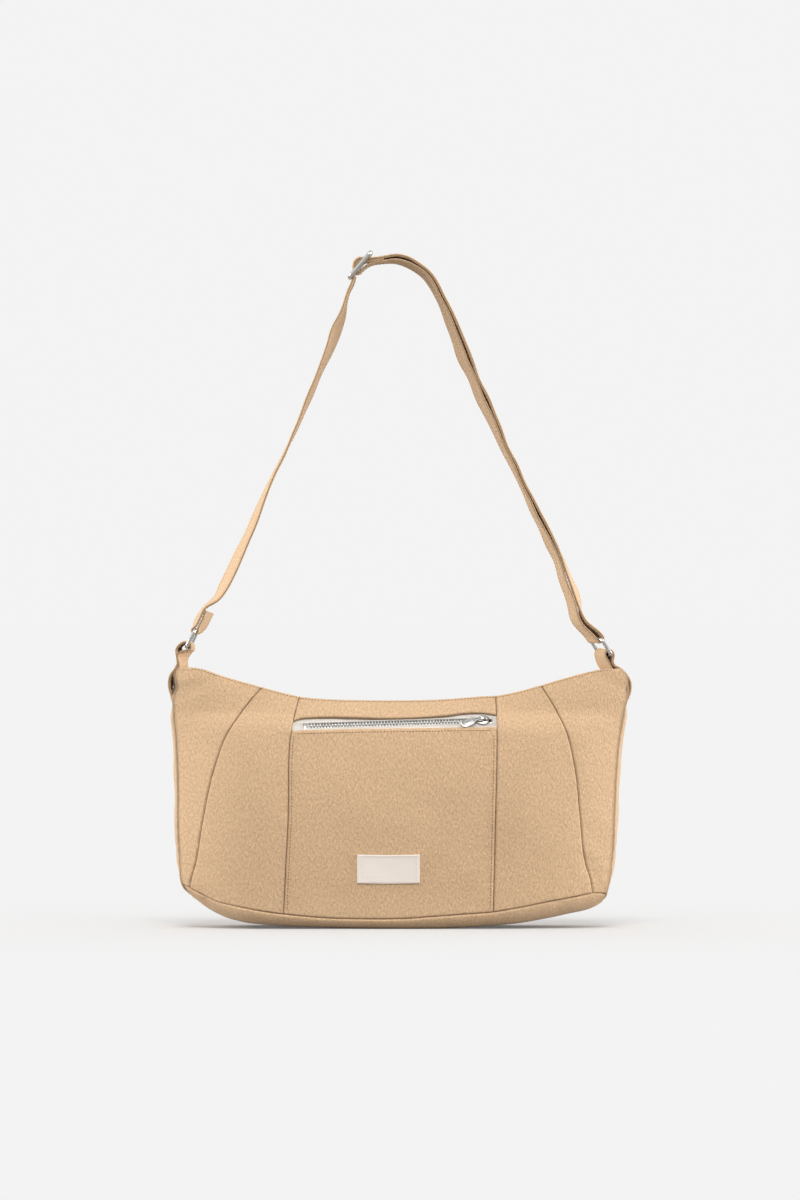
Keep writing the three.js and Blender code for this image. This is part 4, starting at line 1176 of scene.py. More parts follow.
def stitch_shape(length):
    """One stitch along X: a thin thread that dips into the cloth at both ends."""
    stations = np.array([-0.5, -0.32, 0.32, 0.5])
    fullness = np.array([0.35, 1.0, 1.0, 0.35])
    sinking = np.array([-0.9, 0.0, 0.0, -0.9])
    angles = np.arange(STITCH_SIDES) * 2 * math.pi / STITCH_SIDES
    rings = np.empty((4, STITCH_SIDES, 3))
    rings[..., 0] = (stations * length)[:, None]
    rings[..., 1] = STITCH_RADIUS * fullness[:, None] * np.cos(angles)
    rings[..., 2] = STITCH_RADIUS * (fullness[:, None] * np.sin(angles) + sinking[:, None])
    return rings.reshape(-1, 3)


def stitch_faces():
    body = grid_faces(4, STITCH_SIDES, closed=True)
    last = 3 * STITCH_SIDES
    cap = cap_faces(STITCH_SIDES)
    return np.concatenate([body, cap[:, ::-1], cap + last])


def spread_along(points, normals, pitch):
    """Places, directions and normals a pitch apart along a line of points."""
    length = run_length(points[:, None], 0)[:, 0]
    places = np.arange(pitch / 2, length[-1], pitch)

    def pick(values):
        return np.stack([np.interp(places, length, values[:, k]) for k in range(3)], -1)

    return pick(points), pick(unit(np.gradient(points, axis=0))), pick(normals)


def stitch_piece(name, rows, pitch):
    """One object of all the stitches along rows of points and normals."""
    shape = stitch_shape(pitch * STITCH_SHARE)
    faces = stitch_faces()
    all_points = []
    for points, normals in rows:
        places, along, up = spread_along(points, normals, pitch)
        beside = np.cross(up, along)
        moved = (
            places[:, None]
            + along[:, None] * shape[None, :, :1]
            + beside[:, None] * shape[None, :, 1:2]
            + up[:, None] * shape[None, :, 2:]
        )
        all_points.append(moved.reshape(-1, 3))
    points = np.concatenate(all_points)
    count = len(points) // len(shape)
    every = (faces[None] + np.arange(count)[:, None, None] * len(shape)).reshape(-1, 4)
    return quad_piece(name, points, every, smooth=60)


def skin_row(x, z, facing, lift=CANVAS_LIFT):
    points, normals = on_skin(x, z, facing)
    return points + normals * mm(lift), normals


def sew_stitches():
    """Stitch rows on the front and back panels."""
    pitch = sizes().stitch
    x = np.linspace(*POCKET_ROW, POCKET_POINTS)
    rows = [skin_row(x, POCKET_EDGE(x) - POCKET_INSET, FRONT)]
    z = np.linspace(ROW_FOOT, FRONT_ROW_HEAD, SEAM_POINTS)
    rows.append(skin_row(LEFT_SEAM(z) + SEAM_INSET, z, FRONT))
    rows.append(skin_row(RIGHT_SEAM(z) - SEAM_INSET, z, FRONT))
    x = np.linspace(*TOP_ROW, TOP_POINTS)
    for facing in (FRONT, BACK):
        rows.append(skin_row(x, TOP_EDGE(x) - TOP_INSET, facing, lift=0))
    z = np.linspace(ROW_FOOT, BACK_ROW_HEAD, SEAM_POINTS)
    for sign in (-1, 1):
        rows.append(skin_row(sign * (BACK_SEAM(z) - SEAM_INSET), z, BACK))
    finish_piece(stitch_piece("panel_stitches", rows, pitch), thread_material(), "bag")
    sides = (LABEL_LEFT + LABEL_INSET, LABEL_RIGHT - LABEL_INSET)
    across = np.linspace(*sides, ACROSS_POINTS)
    upward = np.linspace(LABEL_LOW + LABEL_INSET, LABEL_HIGH - LABEL_INSET, UPWARD_POINTS)
    levels = (LABEL_LOW + LABEL_LEVEL_INSET, LABEL_HIGH - LABEL_LEVEL_INSET)
    edges = [(across, np.full_like(across, z)) for z in levels]
    edges += [(np.full_like(upward, x), upward) for x in sides]
    label_rows = [skin_row(x, z, FRONT, LABEL_LIFT) for x, z in edges]
    label_stitches = stitch_piece("label_stitches", label_rows, LABEL_STITCH)
    finish_piece(label_stitches, label_material(), "bag")


# Hard pieces, modelled with Blender's own operators

# Angles in degrees: edges sharper than the first are bevelled, and flatter than the others look smooth
BEVEL_ANGLE, HARD_SMOOTH, WIRE_SMOOTH, COPY_SMOOTH = 35, 45, 60, 40


def cast_plate(name, outline, low, high, bevel):
    """A flat plate with rounded edges: a filled outline, extruded and bevelled."""
    bpy.ops.object.select_all(action="DESELECT")
    bpy.ops.mesh.primitive_circle_add(vertices=len(outline), radius=mm(1), fill_type="NGON")
    obj = bpy.context.object
    obj.name = name
    for vertex, (x, y) in zip(obj.data.vertices, outline):
        vertex.co = (x, y, low)
    bpy.ops.object.mode_set(mode="EDIT")
    bpy.ops.mesh.select_all(action="SELECT")
    bpy.ops.mesh.extrude_region_move(TRANSFORM_OT_translate={"value": (0, 0, high - low)})
    bpy.ops.mesh.select_all(action="SELECT")
    bpy.ops.mesh.normals_make_consistent(inside=False)
    bpy.ops.object.mode_set(mode="OBJECT")
    round_edges(obj, bevel)
    return obj


def round_edges(obj, width, segments=3):
    """Bevel the sharp edges of a piece."""
    only(obj)
    modifier = obj.modifiers.new("rounded", "BEVEL")
    modifier.width = width
    modifier.segments = segments
    modifier.limit_method = "ANGLE"
    modifier.angle_limit = math.radians(BEVEL_ANGLE)
    bpy.ops.object.modifier_apply(modifier=modifier.name)
    bpy.ops.object.shade_smooth_by_angle(angle=math.radians(HARD_SMOOTH))


def cast_block(name, low, high, bevel, segments=2):
    """A block between two corners with rounded edges."""
    low = Vector(low)
    high = Vector(high)
    bpy.ops.object.select_all(action="DESELECT")
    bpy.ops.mesh.primitive_cube_add(size=1, location=(low + high) / 2, scale=high - low)
    bpy.ops.object.transform_apply(location=True, rotation=True, scale=True)
    obj = bpy.context.object
    obj.name = name
    round_edges(obj, bevel, segments)
    return obj


def bend_wire(name, path, diameter, closed=True):
    """Round wire bent along a path of points."""
    curve = bpy.data.curves.new(name, "CURVE")
    curve.dimensions = "3D"
    curve.bevel_depth = diameter / 2
    curve.bevel_resolution = 5
    curve.use_fill_caps = True
    spline = curve.splines.new("POLY")
    spline.points.add(len(path) - 1)
    for point, place in zip(spline.points, path):
        point.co = (*place, 1)
    spline.use_cyclic_u = closed
    obj = bpy.data.objects.new(name, curve)
    bpy.context.collection.objects.link(obj)
    only(obj)
    bpy.ops.object.convert(target="MESH")
    bpy.ops.object.shade_smooth_by_angle(angle=math.radians(WIRE_SMOOTH))
    return bpy.context.object


def join_pieces(name, pieces):
    bpy.ops.object.select_all(action="DESELECT")
    for piece in pieces:
        piece.select_set(True)
    bpy.context.view_layer.objects.active = pieces[0]
    bpy.ops.object.join()
    joined = bpy.context.object
    joined.name = name
    joined.data.name = name
    return joined


def corner_arc(centre, radius, start, end, count):
    angles = np.radians(np.linspace(start, end, count))
    return [(centre[0] + radius * math.cos(a), centre[1] + radius * math.sin(a)) for a in angles]


def rounded_rectangle(length, width, bend, count=6):
    """A closed outline with rounded corners, about the origin."""
    outline = []
    for x_side, y_side, start in ((1, 1, 0), (-1, 1, 90), (-1, -1, 180), (1, -1, 270)):
        centre = (x_side * (length / 2 - bend), y_side * (width / 2 - bend))
        outline += corner_arc(centre, bend, start, start + 90, count)
    return outline


def copies_of(name, pattern, places):
    """One mesh of many copies of a pattern, each at its own origin and axes, and the pattern removed."""
    points = np.array([vertex.co for vertex in pattern.data.vertices])
    faces = [list(polygon.vertices) for polygon in pattern.data.polygons]
    all_points = []
    all_faces = []
    for number, (origin, axes) in enumerate(places):
        all_points.append(origin + points @ axes)
        all_faces += [[index + number * len(points) for index in face] for face in faces]
    mesh = bpy.data.meshes.new(name)
    mesh.from_pydata(np.concatenate(all_points).tolist(), [], all_faces)
    bpy.data.objects.remove(pattern)
    obj = bpy.data.objects.new(name, mesh)
    bpy.context.collection.objects.link(obj)
    only(obj)
    bpy.ops.object.shade_smooth_by_angle(angle=math.radians(COPY_SMOOTH))
    return obj


def moved_to(obj, origin, axes):
    """Put a piece's mesh at an origin, with its own axes along three directions."""
    for vertex in obj.data.vertices:
        vertex.co = origin + np.array(vertex.co) @ axes
    return obj


# Zips: along, across and out of the cloth

TAPE_DEPTH = mm(3.2)
TAPE = mm(0.8)
TAPE_WIDTH = mm(11)
TAPE_STEP, TAPE_COLUMNS = mm(2), 26
TAPE_WAVE, TAPE_WAVE_LENGTH = mm(0.18), mm(14)
# The wave begins beyond the bead, and the shade ends at it
WAVE_START, WAVE_GROWTH = mm(4), mm(2)
TEETH_SHADE, TEETH_SHADE_END, CHAIN_EASE = mm(2.3), mm(0.7), mm(1)
# The tape's distance from the middle, past the teeth and under them
TAPE_GAP = mm(0.03, 1.1)
BEAD_HEIGHT, BEAD_PLACE, BEAD_WIDTH = mm(0.75), mm(2.9), mm(0.9)
CHAIN_MIDDLE = -mm(3.6)
CHAIN_HALF = mm(2.9)
TOOTH_LENGTH = mm(1.3)
TOOTH_HEIGHT = mm(2.2)
TOOTH_HEAD, TOOTH_BEVEL = mm(0.75), mm(0.42)
# From the bottom stop to the first tooth, from the slider to the last, and from the slot to the zip's end
FIRST_TOOTH, LAST_TOOTH, SLOT_END = mm(1), mm(3), mm(2)
STOP_BEVEL, STOP_PROUD, END_STOP_INNER = mm(0.5), mm(0.1), mm(1.3)
STOP_LENGTH = mm(3)
SLIDER_BACK = mm(8.35)
PULLER_LIFT = mm(0.45)
PULLER_DROOP = 27
TOP_ARC = mm(595.1)
TOP_ARC_HEIGHT = mm(773.1)
TOP_TAPE_DROP, TOP_TAPE_INSET = mm(11), mm(2.2)


# The pocket zip's middle, and its directions along itself and up the front
POCKET_ZIP_PLACE = mm(0, -32.46, 169)
POCKET_ZIP_ALONG = np.array((0.999354, 0.020294, 0.02966))
POCKET_ZIP_UP = np.array((-0.035938, 0.564316, 0.824776))


def pocket_zip_frame(s):
    """Origin and axes of the pocket zip at a distance along it."""
    out = np.cross(POCKET_ZIP_ALONG, POCKET_ZIP_UP)
    axes = np.stack([POCKET_ZIP_ALONG, POCKET_ZIP_UP, out])
    return POCKET_ZIP_PLACE + POCKET_ZIP_ALONG * s, axes


def top_zip_frame(s):
    """Origin and axes of the curved top zip at a distance along it."""
    turn = s / TOP_ARC
    along = np.array((math.cos(turn), 0, math.sin(turn)))
    outward = np.array((-math.sin(turn), 0, math.cos(turn)))
    axes = np.stack([along, np.array((0.0, 1.0, 0.0)), outward])
    return np.array((0, 0, TOP_ARC_HEIGHT)) - outward * TOP_ARC, axes


def zip_points(frame_at, s, across, out):
    """Points of a grid given along, across and out of a zip."""
    points = np.empty((*s.shape, 3))
    for i in range(s.shape[0]):
        origin, axes = frame_at(s[i, 0])
        points[i] = origin + across[i][:, None] * axes[1] + out[i][:, None] * axes[2]
    return points


def weave_tape(name, frame_at, start, end, chain, sign, reach, node):
    """One side of a zip's tape, with a thick edge at the teeth and shade between them."""
    s_line = np.arange(start, end + TAPE_STEP / 2, TAPE_STEP)
    edges = np.array([reach(s) for s in s_line])
    share = np.linspace(0, 1, TAPE_COLUMNS)
    s = np.repeat(s_line[:, None], len(share), 1)
    under_teeth = ease((s - chain[0]) / CHAIN_EASE + 1) * ease((chain[1] - s) / CHAIN_EASE + 1)
    inner_edge = lerp(*TAPE_GAP, under_teeth)
    across = inner_edge + (edges[:, None] - inner_edge) * share[None, :]
    bead = BEAD_HEIGHT * hump(across, BEAD_PLACE, BEAD_WIDTH)
    wave = TAPE_WAVE * ripples(s, across, TAPE_WAVE_LENGTH, seed=31)
    wave = wave * ramp_up(across, WAVE_START, WAVE_GROWTH)
    top = -TAPE_DEPTH + bead + wave
    outer = zip_points(frame_at, s, sign * across, top)
    inner = zip_points(frame_at, s, sign * across, top - TAPE)
    shadow = under_teeth * (1 - ramp_up(across, TEETH_SHADE, TEETH_SHADE_END))
    piece = cloth_piece(name, outer, inner, shadow, np.stack([across, s], -1))
    return finish_piece(piece, tape_material(), "bag", [node])


def cast_teeth(name, frame_at, start, end, sign, node):
    """One row of teeth, each a rounded block that reaches just past the middle."""
    pitch = sizes().tooth
    tooth = cast_block(
        name + "_pattern",
        (-TOOTH_LENGTH / 2, -TOOTH_HEAD, CHAIN_MIDDLE - TOOTH_HEIGHT / 2),
        (TOOTH_LENGTH / 2, CHAIN_HALF, CHAIN_MIDDLE + TOOTH_HEIGHT / 2),
        TOOTH_BEVEL,
        segments=1,
    )
    offset = 0 if sign > 0 else pitch / 2
    places = []
    for s in np.arange(start + offset, end, pitch):
        origin, axes = frame_at(s)
        flip = np.diag((sign, sign, 1.0))
        places.append((origin, flip @ axes))
    row = copies_of(name, tooth, places)
    return finish_piece(row, zip_metal(), "bag", [node])


def cast_stop(name, frame_at, start, low, high, node):
    stop = cast_block(
        name,
        (0, low, CHAIN_MIDDLE - TOOTH_HEIGHT / 2),
        (STOP_LENGTH, high, CHAIN_MIDDLE + TOOTH_HEIGHT / 2 + STOP_PROUD),
        STOP_BEVEL,
    )
    origin, axes = frame_at(start)
    moved_to(stop, origin, axes)
    return finish_piece(stop, zip_metal(), "bag", [node])


SLIDER_OUTLINE = mm(
    (-5, 2.6), (-1, 4.2), (2.5, 4.2), (5, 2.95), (5, -2.95), (2.5, -4.2), (-1, -4.2), (-5, -2.6),
)
# The height of the slider's deck, the lowest and highest of its floor, and their thickness and bevel
SLIDER_DECK, SLIDER_FLOOR = -mm(0.9), mm(-6.3, -5.1)
PLATE, PLATE_BEVEL = mm(1.2), mm(0.45)
POST_LOW, POST_HIGH, POST_BEVEL = mm(2.0, -1, -5.3), mm(4.4, 1, -1.9), mm(0.4)
# The walls' distance from the middle and half thickness, in millimetres
WALL_PLACE, WALL_HALF, WALL_BEVEL = 3.7, 0.45, mm(0.3)
WALL_ENDS, WALL_HEIGHTS = (-1.6, 2.6), (-3.2, -1.9)
BRIDGE_WIDTH, BRIDGE_THICKNESS = mm(2.2), mm(0.9)
BRIDGE_PATH = mm(
    (-4.1, -1.1), (-3.7, 0.2), (-2.6, 1.25), (-1.2, 1.6), (1.2, 1.6), (2.6, 1.25), (3.7, 0.2),
    (4.1, -1.1),
)
# The puller lies in the plane of its blade, in millimetres, with its pin at the origin
PULLER_EYE = (
    (0, 1.9), (-2.2, 1.75), (-4.4, 1.2), (-5.6, 0.7), (-5.6, -0.7), (-4.4, -1.2), (-2.2, -1.75),
    (0, -1.9),
)
PULLER_BLADE = mm(
    (-5.2, 1.2), (-6.2, 1.9), (-8.4, 3.1), (-16.8, 3.25), (-17.6, 2.6), (-17.6, -2.6), (-16.8, -3.25),
    (-8.4, -3.1), (-6.2, -1.9), (-5.2, -1.2),
)
PULLER_NECK = mm(-5.2, 0, 0)
EYE_WIRE = mm(1.15)
BLADE_HALF, BLADE_BEVEL = mm(0.5), mm(0.25)
# The blade's framed window: length, width and bend, its place and lift, in millimetres, and its wire
WINDOW, WINDOW_PLACE, WINDOW_LIFT = (6.6, 4.2, 1.0), 12.2, 0.55
WINDOW_WIRE = mm(0.7)
TIP_RADIUS, TIP_LENGTH, TIP_PLACE, TIP_BEVEL = mm(0.95), mm(6.3), mm(-17.5, 0, 0.2), mm(0.3)


def cast_slider(name, frame_at, s, body, node):
    """Two shaped plates round the chain, a post between them, side walls and a bridge for the puller."""
    deck = cast_plate(name + "_deck", SLIDER_OUTLINE, SLIDER_DECK - PLATE, SLIDER_DECK, PLATE_BEVEL)
    floor = cast_plate(name + "_floor", SLIDER_OUTLINE, *SLIDER_FLOOR, PLATE_BEVEL)
    post = cast_block(name + "_post", POST_LOW, POST_HIGH, POST_BEVEL)
    walls = []
    for y in (-WALL_PLACE, WALL_PLACE):
        faces = (y - WALL_HALF, y + WALL_HALF)
        low, high = (mm(*corner) for corner in zip(WALL_ENDS, faces, WALL_HEIGHTS))
        walls.append(cast_block(name + "_wall", low, high, WALL_BEVEL))
    bridge = loft_piece(name + "_bridge", bar_rings(BRIDGE_PATH, BRIDGE_WIDTH, BRIDGE_THICKNESS))
    slider = join_pieces(name, [deck, floor, post, bridge, *walls])
    origin, axes = frame_at(s)
    moved_to(slider, origin, axes)
    return finish_piece(slider, slider_metal(), body, [node])


def bar_rings(path, width, thickness, corner=0.3, sides=3):
    """Rings of a flat bar that follows a path in the XZ plane and is as wide as given along Y."""
    path = np.array(path)
    along = unit(np.gradient(path, axis=0))
    bend = corner * min(width, thickness)
    outline = np.array(rounded_rectangle(width, thickness, bend, sides))
    rings = np.empty((len(path), len(outline), 3))
    rings[..., 0] = path[:, :1] - along[:, 1:] * outline[None, :, 1]
    rings[..., 1] = outline[None, :, 0]
    rings[..., 2] = path[:, 1:] + along[:, :1] * outline[None, :, 1]
    return rings


def cast_puller(name, frame_at, s, droop, body, node):
    """A wire eye, a blade with a framed window, and a rolled tip."""
    eye = bend_wire(name + "_eye", [mm(x, y, 0) for x, y in PULLER_EYE], EYE_WIRE)
    blade = cast_plate(name + "_blade", PULLER_BLADE, -BLADE_HALF, BLADE_HALF, BLADE_BEVEL)
    window = bend_wire(
        name + "_window",
        [mm(x - WINDOW_PLACE, y, WINDOW_LIFT) for x, y in rounded_rectangle(*WINDOW)],
        WINDOW_WIRE,
    )
    bpy.ops.object.select_all(action="DESELECT")
    bpy.ops.mesh.primitive_cylinder_add(
        vertices=20,
        radius=TIP_RADIUS,
        depth=TIP_LENGTH,
        location=TIP_PLACE,
        rotation=(math.pi / 2, 0, 0),
    )
    bpy.ops.object.transform_apply(location=True, rotation=True, scale=True)
    tip = bpy.context.object
    round_edges(tip, TIP_BEVEL)
    drooping = [blade, window, tip]
    turn = math.radians(droop)
    c, n = math.cos(turn), math.sin(turn)
    turned = np.array(((c, n, 0), (-n, c, 0), (0, 0, 1)))
    for piece in drooping:
        moved_to(piece, PULLER_NECK - PULLER_NECK @ turned, turned)
    puller = join_pieces(name, [eye, *drooping])
    origin, axes = frame_at(s)
    moved_to(puller, origin + axes[2] * PULLER_LIFT, axes)
    return finish_piece(puller, slider_metal(), body, [node])


def top_tape_reach(s):
    """The top tapes reach the inner faces of the panels."""
    origin, _ = top_zip_frame(s)
    head = TOP_EDGE(origin[0]) - TOP_TAPE_DROP
    return float(half_depth(origin[0], head)) - TOP_TAPE_INSET


def make_zip(name, frame_at, start, end, hidden, reach, sides, droop, bodies):
    """All the pieces of one zip, closed, with its slider at the end."""
    slide = end - SLIDER_BACK
    chain = (start + STOP_LENGTH + FIRST_TOOTH, slide + LAST_TOOTH)
    slot = (chain[0], end - SLOT_END)
    tape_ends = (start - hidden[0], end + hidden[1])
    for sign, side in zip((1, -1), sides):
        part = f"{name}_{side}"
        weave_tape(part + "_tape_weave", frame_at, *tape_ends, slot, sign, reach, part + "_tape")
        cast_teeth(part + "_tooth_row", frame_at, *chain, sign, part + "_teeth")
        low, high = sorted((sign * END_STOP_INNER, sign * CHAIN_HALF))
        cast_stop(part + "_end_stop", frame_at, end - STOP_LENGTH, low, high, part + "_top_stop")
    cast_stop(f"{name}_start_stop", frame_at, start, -CHAIN_HALF, CHAIN_HALF, f"{name}_bottom_stop")
    cast_slider(f"{name}_slider_cast", frame_at, slide, bodies[0], f"{name}_slider")
    cast_puller(f"{name}_puller_cast", frame_at, slide, droop, bodies[1], f"{name}_puller")


POCKET_ZIP = (mm(-79.1), mm(75.73))
TOP_ZIP_HALF = mm(152)
# The canvas at the top zip's ends: its overlap, length, drop below the zip, slope and sag
END_OVERLAP, END_LENGTH, END_DROP, END_SLOPE, END_SAG = mm(1), mm(27), mm(2.4), mm(3), mm(1.5)
END_ROWS, END_COLUMNS = 16, 21


def pocket_tape_reach(s):
    return TAPE_WIDTH


def make_zips():
    make_zip(
        "pocket_zip",
        pocket_zip_frame,
        *POCKET_ZIP,
        hidden=mm(9, 5),
        reach=pocket_tape_reach,
        sides=("upper", "lower"),
        droop=PULLER_DROOP,
        bodies=("pocket_slider", "pocket_puller"),
    )
    make_zip(
        "top_zip",
        top_zip_frame,
        -TOP_ZIP_HALF,
        TOP_ZIP_HALF,
        hidden=mm(2, 2),
        reach=top_tape_reach,
        sides=("back", "front"),
        droop=0,
        bodies=("top_slider", "top_puller"),
    )


def sew_zip_ends():
    """Canvas at both ends of the top zip, between the panels and the gusset."""
    canvas = sizes().canvas
    for side, name in ((-1, "left"), (1, "right")):
        s_line = side * (TOP_ZIP_HALF - END_OVERLAP + np.linspace(0, END_LENGTH, END_ROWS))
        places = np.array([top_zip_frame(s)[0] for s in s_line])
        share = np.linspace(-1, 1, END_COLUMNS)
        half = half_depth(places[:, 0], TOP_EDGE(places[:, 0]) - TOP_TAPE_DROP) - TOP_TAPE_INSET
        drop = np.linspace(0, 1, len(s_line))[:, None]
        outer = np.empty((len(s_line), len(share), 3))
        outer[..., 0] = places[:, :1]
        outer[..., 1] = half[:, None] * share
        sag = END_SAG * (1 - share**2)
        outer[..., 2] = places[:, 2:] - END_DROP - END_SLOPE * drop**2 - sag
        inner = outer - np.array((0, 0, canvas))
        piece = cloth_piece(f"zip_{name}_end_cloth", outer, inner)
        finish_piece(piece, canvas_material(), "bag")


# Rings and adjuster: each lies in the plane of its lean

BAR_ACROSS = mm(29.9)
RING_LENGTH = mm(16)
RING_BEND = mm(3.5)
ADJUSTER_LENGTH = mm(26)
ADJUSTER_BEND = mm(3)
BAR_POINTS = 9
ADJUSTER_WIRE = 1.3
LEFT_RING = (mm(-171.2, 236.6), 62.5)
RIGHT_RING = (mm(169.0, 229.5), 122)
ADJUSTER = (mm(-32.5, 542.6), 50)

# How far the hardware and the cloth round it turn to show their faces, by height
LEFT_YAW = smooth_line(
    (
        (0.195, 0.05), (0.206, 0.15), (0.213, 0.23), (0.2176, 0.25), (0.2213, 0.34), (0.225, 0.34),
        (0.2261, 0.27), (0.2268, 0.18), (0.2286, 0.1), (0.232, 0.075), (0.245, 0.05),
        (0.252, 0.02), (0.265, 0),
    )
)
RIGHT_YAW = smooth_line(
    (
        (0.195, 0), (0.204, 0.15), (0.213, 0.33), (0.222, 0.3), (0.237, 0.29), (0.25, 0.25),
        (0.262, 0.18), (0.28, 0.1), (0.3, 0),
    )
)


def yawed(points):
    """Points near a ring, turned a little about its front end."""
    points = np.array(points)
    x, y, z = points[..., 0], points[..., 1], points[..., 2]
    turn = np.where(x < 0, LEFT_YAW(z), -RIGHT_YAW(z))
    points[..., 0] = x + turn * (y + BAR_ACROSS / 2)
    return points


def lean_axes(degrees):
    c, s = math.cos(math.radians(degrees)), math.sin(math.radians(degrees))
    return np.array(((c, 0, s), (0, 1, 0), (-s, 0, c)))


def hardware_place(place):
    (x, z), lean = place
    return np.array((x, 0, z)), lean_axes(lean)


def bend_frame(name, length, bend, wire):
    return bend_wire(name, [(x, y, 0) for x, y in rounded_rectangle(length, BAR_ACROSS, bend)], wire)


def make_rings():
    for name, place in (("left_ring", LEFT_RING), ("right_ring", RIGHT_RING)):
        ring = bend_frame(name + "_wire", RING_LENGTH, RING_BEND, sizes().wire)
        moved_to(ring, *hardware_place(place))
        for vertex in ring.data.vertices:
            vertex.co = yawed(vertex.co)
        finish_piece(ring, metal_material(), name, [name])


def make_adjuster():
    """A wire frame with a bar across its middle."""
    wire = sizes().wire * ADJUSTER_WIRE
    outer = bend_frame("adjuster_frame", ADJUSTER_LENGTH, ADJUSTER_BEND, wire)
    middle = np.linspace(-BAR_ACROSS / 2, BAR_ACROSS / 2, BAR_POINTS)
    bar = bend_wire("adjuster_bar", [(0, y, 0) for y in middle], sizes().wire, closed=False)
    adjuster = join_pieces("adjuster_wire", [outer, bar])
    moved_to(adjuster, *hardware_place(ADJUSTER))
    finish_piece(adjuster, metal_material(), "adjuster", ["strap_adjuster"])


# Strap and tabs: ribbons that follow routes in the XZ plane

# Radius of the strap's middle line round a bar, and the distance of a ring's bar, in millimetres
TURN = 2.9
RING_BAR = 8
RIBBON_STEP = mm(1.6)
# The strap's sewn groove: its distance from the edge, depth and width
GROOVE_INSET, GROOVE_DEPTH, GROOVE_WIDTH = mm(2.6), mm(0.16), mm(0.55)
# Painted shade along the groove and at the strap's edges, its strength and width
GROOVE_SHADE, GROOVE_SHADE_WIDTH = 0.25, mm(0.5)
EDGE_SHADE, EDGE_SHADE_REACH = 0.9, mm(0.16)
# How much the strap's middle is thinner, from this far off its edge and over this length
HOLLOW_DEPTH, HOLLOW_START, HOLLOW_LENGTH = mm(0.22), mm(3), mm(5)
RIPPLE_HEIGHT, RIPPLE_LENGTH, RIPPLE_ENDS, RIPPLE_ACROSS = mm(0.35), mm(30), mm(12), 0.6
# The strap's edges are rounded over this share of its thickness
EDGE_ROUNDING, EDGE_THIN = 0.55, 0.04
STRAP_STITCH, STRAP_STITCH_LIFT = mm(3), mm(0.1)
# Rows of points without stitches at each end of a ribbon
BARE_ROWS = 3
# The ribbon's lower face follows the upper one in its pattern, this many widths on
LOWER_FACE = 1.06
TAB_THICKNESS = mm(2)
# Start, end and number of the points across a ribbon, closer together near its edges
RIBBON_SPANS = ((0, 0.1, 6), (0.14, 0.86, 15), (0.9, 1, 6))


def near_bar(place, d, n):
    """A point in millimetres d along a piece of hardware and n to its left."""
    (x, z), lean = place
    c, s = math.cos(math.radians(lean)), math.sin(math.radians(lean))
    return (x / MM + d * c - n * s, z / MM + d * s + n * c)


def turn_round(place, d, start, end, count):
    """Points of a strap that turns round a bar."""
    angles = np.radians(np.linspace(start, end, count))
    return [near_bar(place, d + TURN * math.cos(a), TURN * math.sin(a)) for a in angles]


def smooth_route(points, values):
    """Even points along a smooth route, with values that change smoothly along it."""
    points = np.array(points) * MM
    chord = run_length(points[:, None], 0)[:, 0]
    even = np.linspace(0, chord[-1], int(chord[-1] / RIBBON_STEP) + 2)
    x, z, value = (smooth_line(np.stack([chord, row], 1))(even) for row in (*points.T, values))
    return np.stack([x, z], -1), value


def ribbon_frame(path, twist):
    """Directions across and off a ribbon that twists as it goes."""
    along = unit(np.gradient(path, axis=0))
    flat = np.stack([-along[:, 1], 0 * along[:, 0], along[:, 0]], -1)
    width_way = np.array((0.0, 1.0, 0.0))
    turn = np.radians(twist)[:, None]
    across = width_way * np.cos(turn) + flat * np.sin(turn)
    off = flat * np.cos(turn) - width_way * np.sin(turn)
    return across, off


def ribbon_section(width, thickness):
    """Half of a ribbon's outline: places across it and the height of its face there."""
    share = [np.linspace(*span) for span in RIBBON_SPANS]
    across = (np.concatenate(share) * 2 - 1) * width / 2
    edge = width / 2 - np.abs(across)
    rounding = np.sqrt(np.clip(1 - fade(edge, EDGE_ROUNDING * thickness) ** 2, EDGE_THIN, 1))
    groove = GROOVE_DEPTH * hump(edge, GROOVE_INSET, GROOVE_WIDTH)
    hollow = HOLLOW_DEPTH * ramp_up(edge, HOLLOW_START, HOLLOW_LENGTH)
    return across, thickness / 2 * rounding - groove - hollow


def ribbon_parts(points, twist, width, thickness, seed):
    """Rings, pattern and shade of a soft flat strip of folded canvas, and the rows of its stitches."""
    path, twist = smooth_route(points, twist)
    across_way, off_way = ribbon_frame(path, twist)
    across, height = ribbon_section(width, thickness)
    edge = width / 2 - np.abs(across)
    middle = np.stack([path[:, 0], 0 * path[:, 0], path[:, 1]], -1)
    length = run_length(middle[:, None], 0)
    ends = ease(from_ends(length, 0) / RIPPLE_ENDS)
    ripple = RIPPLE_HEIGHT * ripples(length, across[None, :] * RIPPLE_ACROSS, RIPPLE_LENGTH, seed) * ends
    ripple = ripple * np.abs(across) / (width / 2)
    face = middle[:, None] + across_way[:, None] * across[None, :, None]
    face = yawed(face + off_way[:, None] * ripple[..., None])
    top = face + off_way[:, None] * height[None, :, None]
    bottom = face - off_way[:, None] * height[None, :, None]
    rings = np.concatenate([top, bottom[:, ::-1]], 1)
    u = np.concatenate([across, across + LOWER_FACE * width])
    uv = np.stack([np.broadcast_to(values, rings.shape[:2]) for values in (u, length)], -1)
    # Painted shade at the edges and along the groove
    dark = EDGE_SHADE * fade(edge, EDGE_SHADE_REACH)
    dark = dark + GROOVE_SHADE * hump(edge, GROOVE_INSET, GROOVE_SHADE_WIDTH)
    seam = np.broadcast_to(np.concatenate([dark, dark[::-1]]), rings.shape[:2])
    rows = []
    column = np.argmin(np.abs(edge - GROOVE_INSET) + (across > 0))
    for index in (column, len(across) - 1 - column):
        for face_points, way in ((top, off_way), (bottom, -off_way)):
            rows.append((face_points[:, index] + way * STRAP_STITCH_LIFT, way))
    return rings, uv, seam, rows


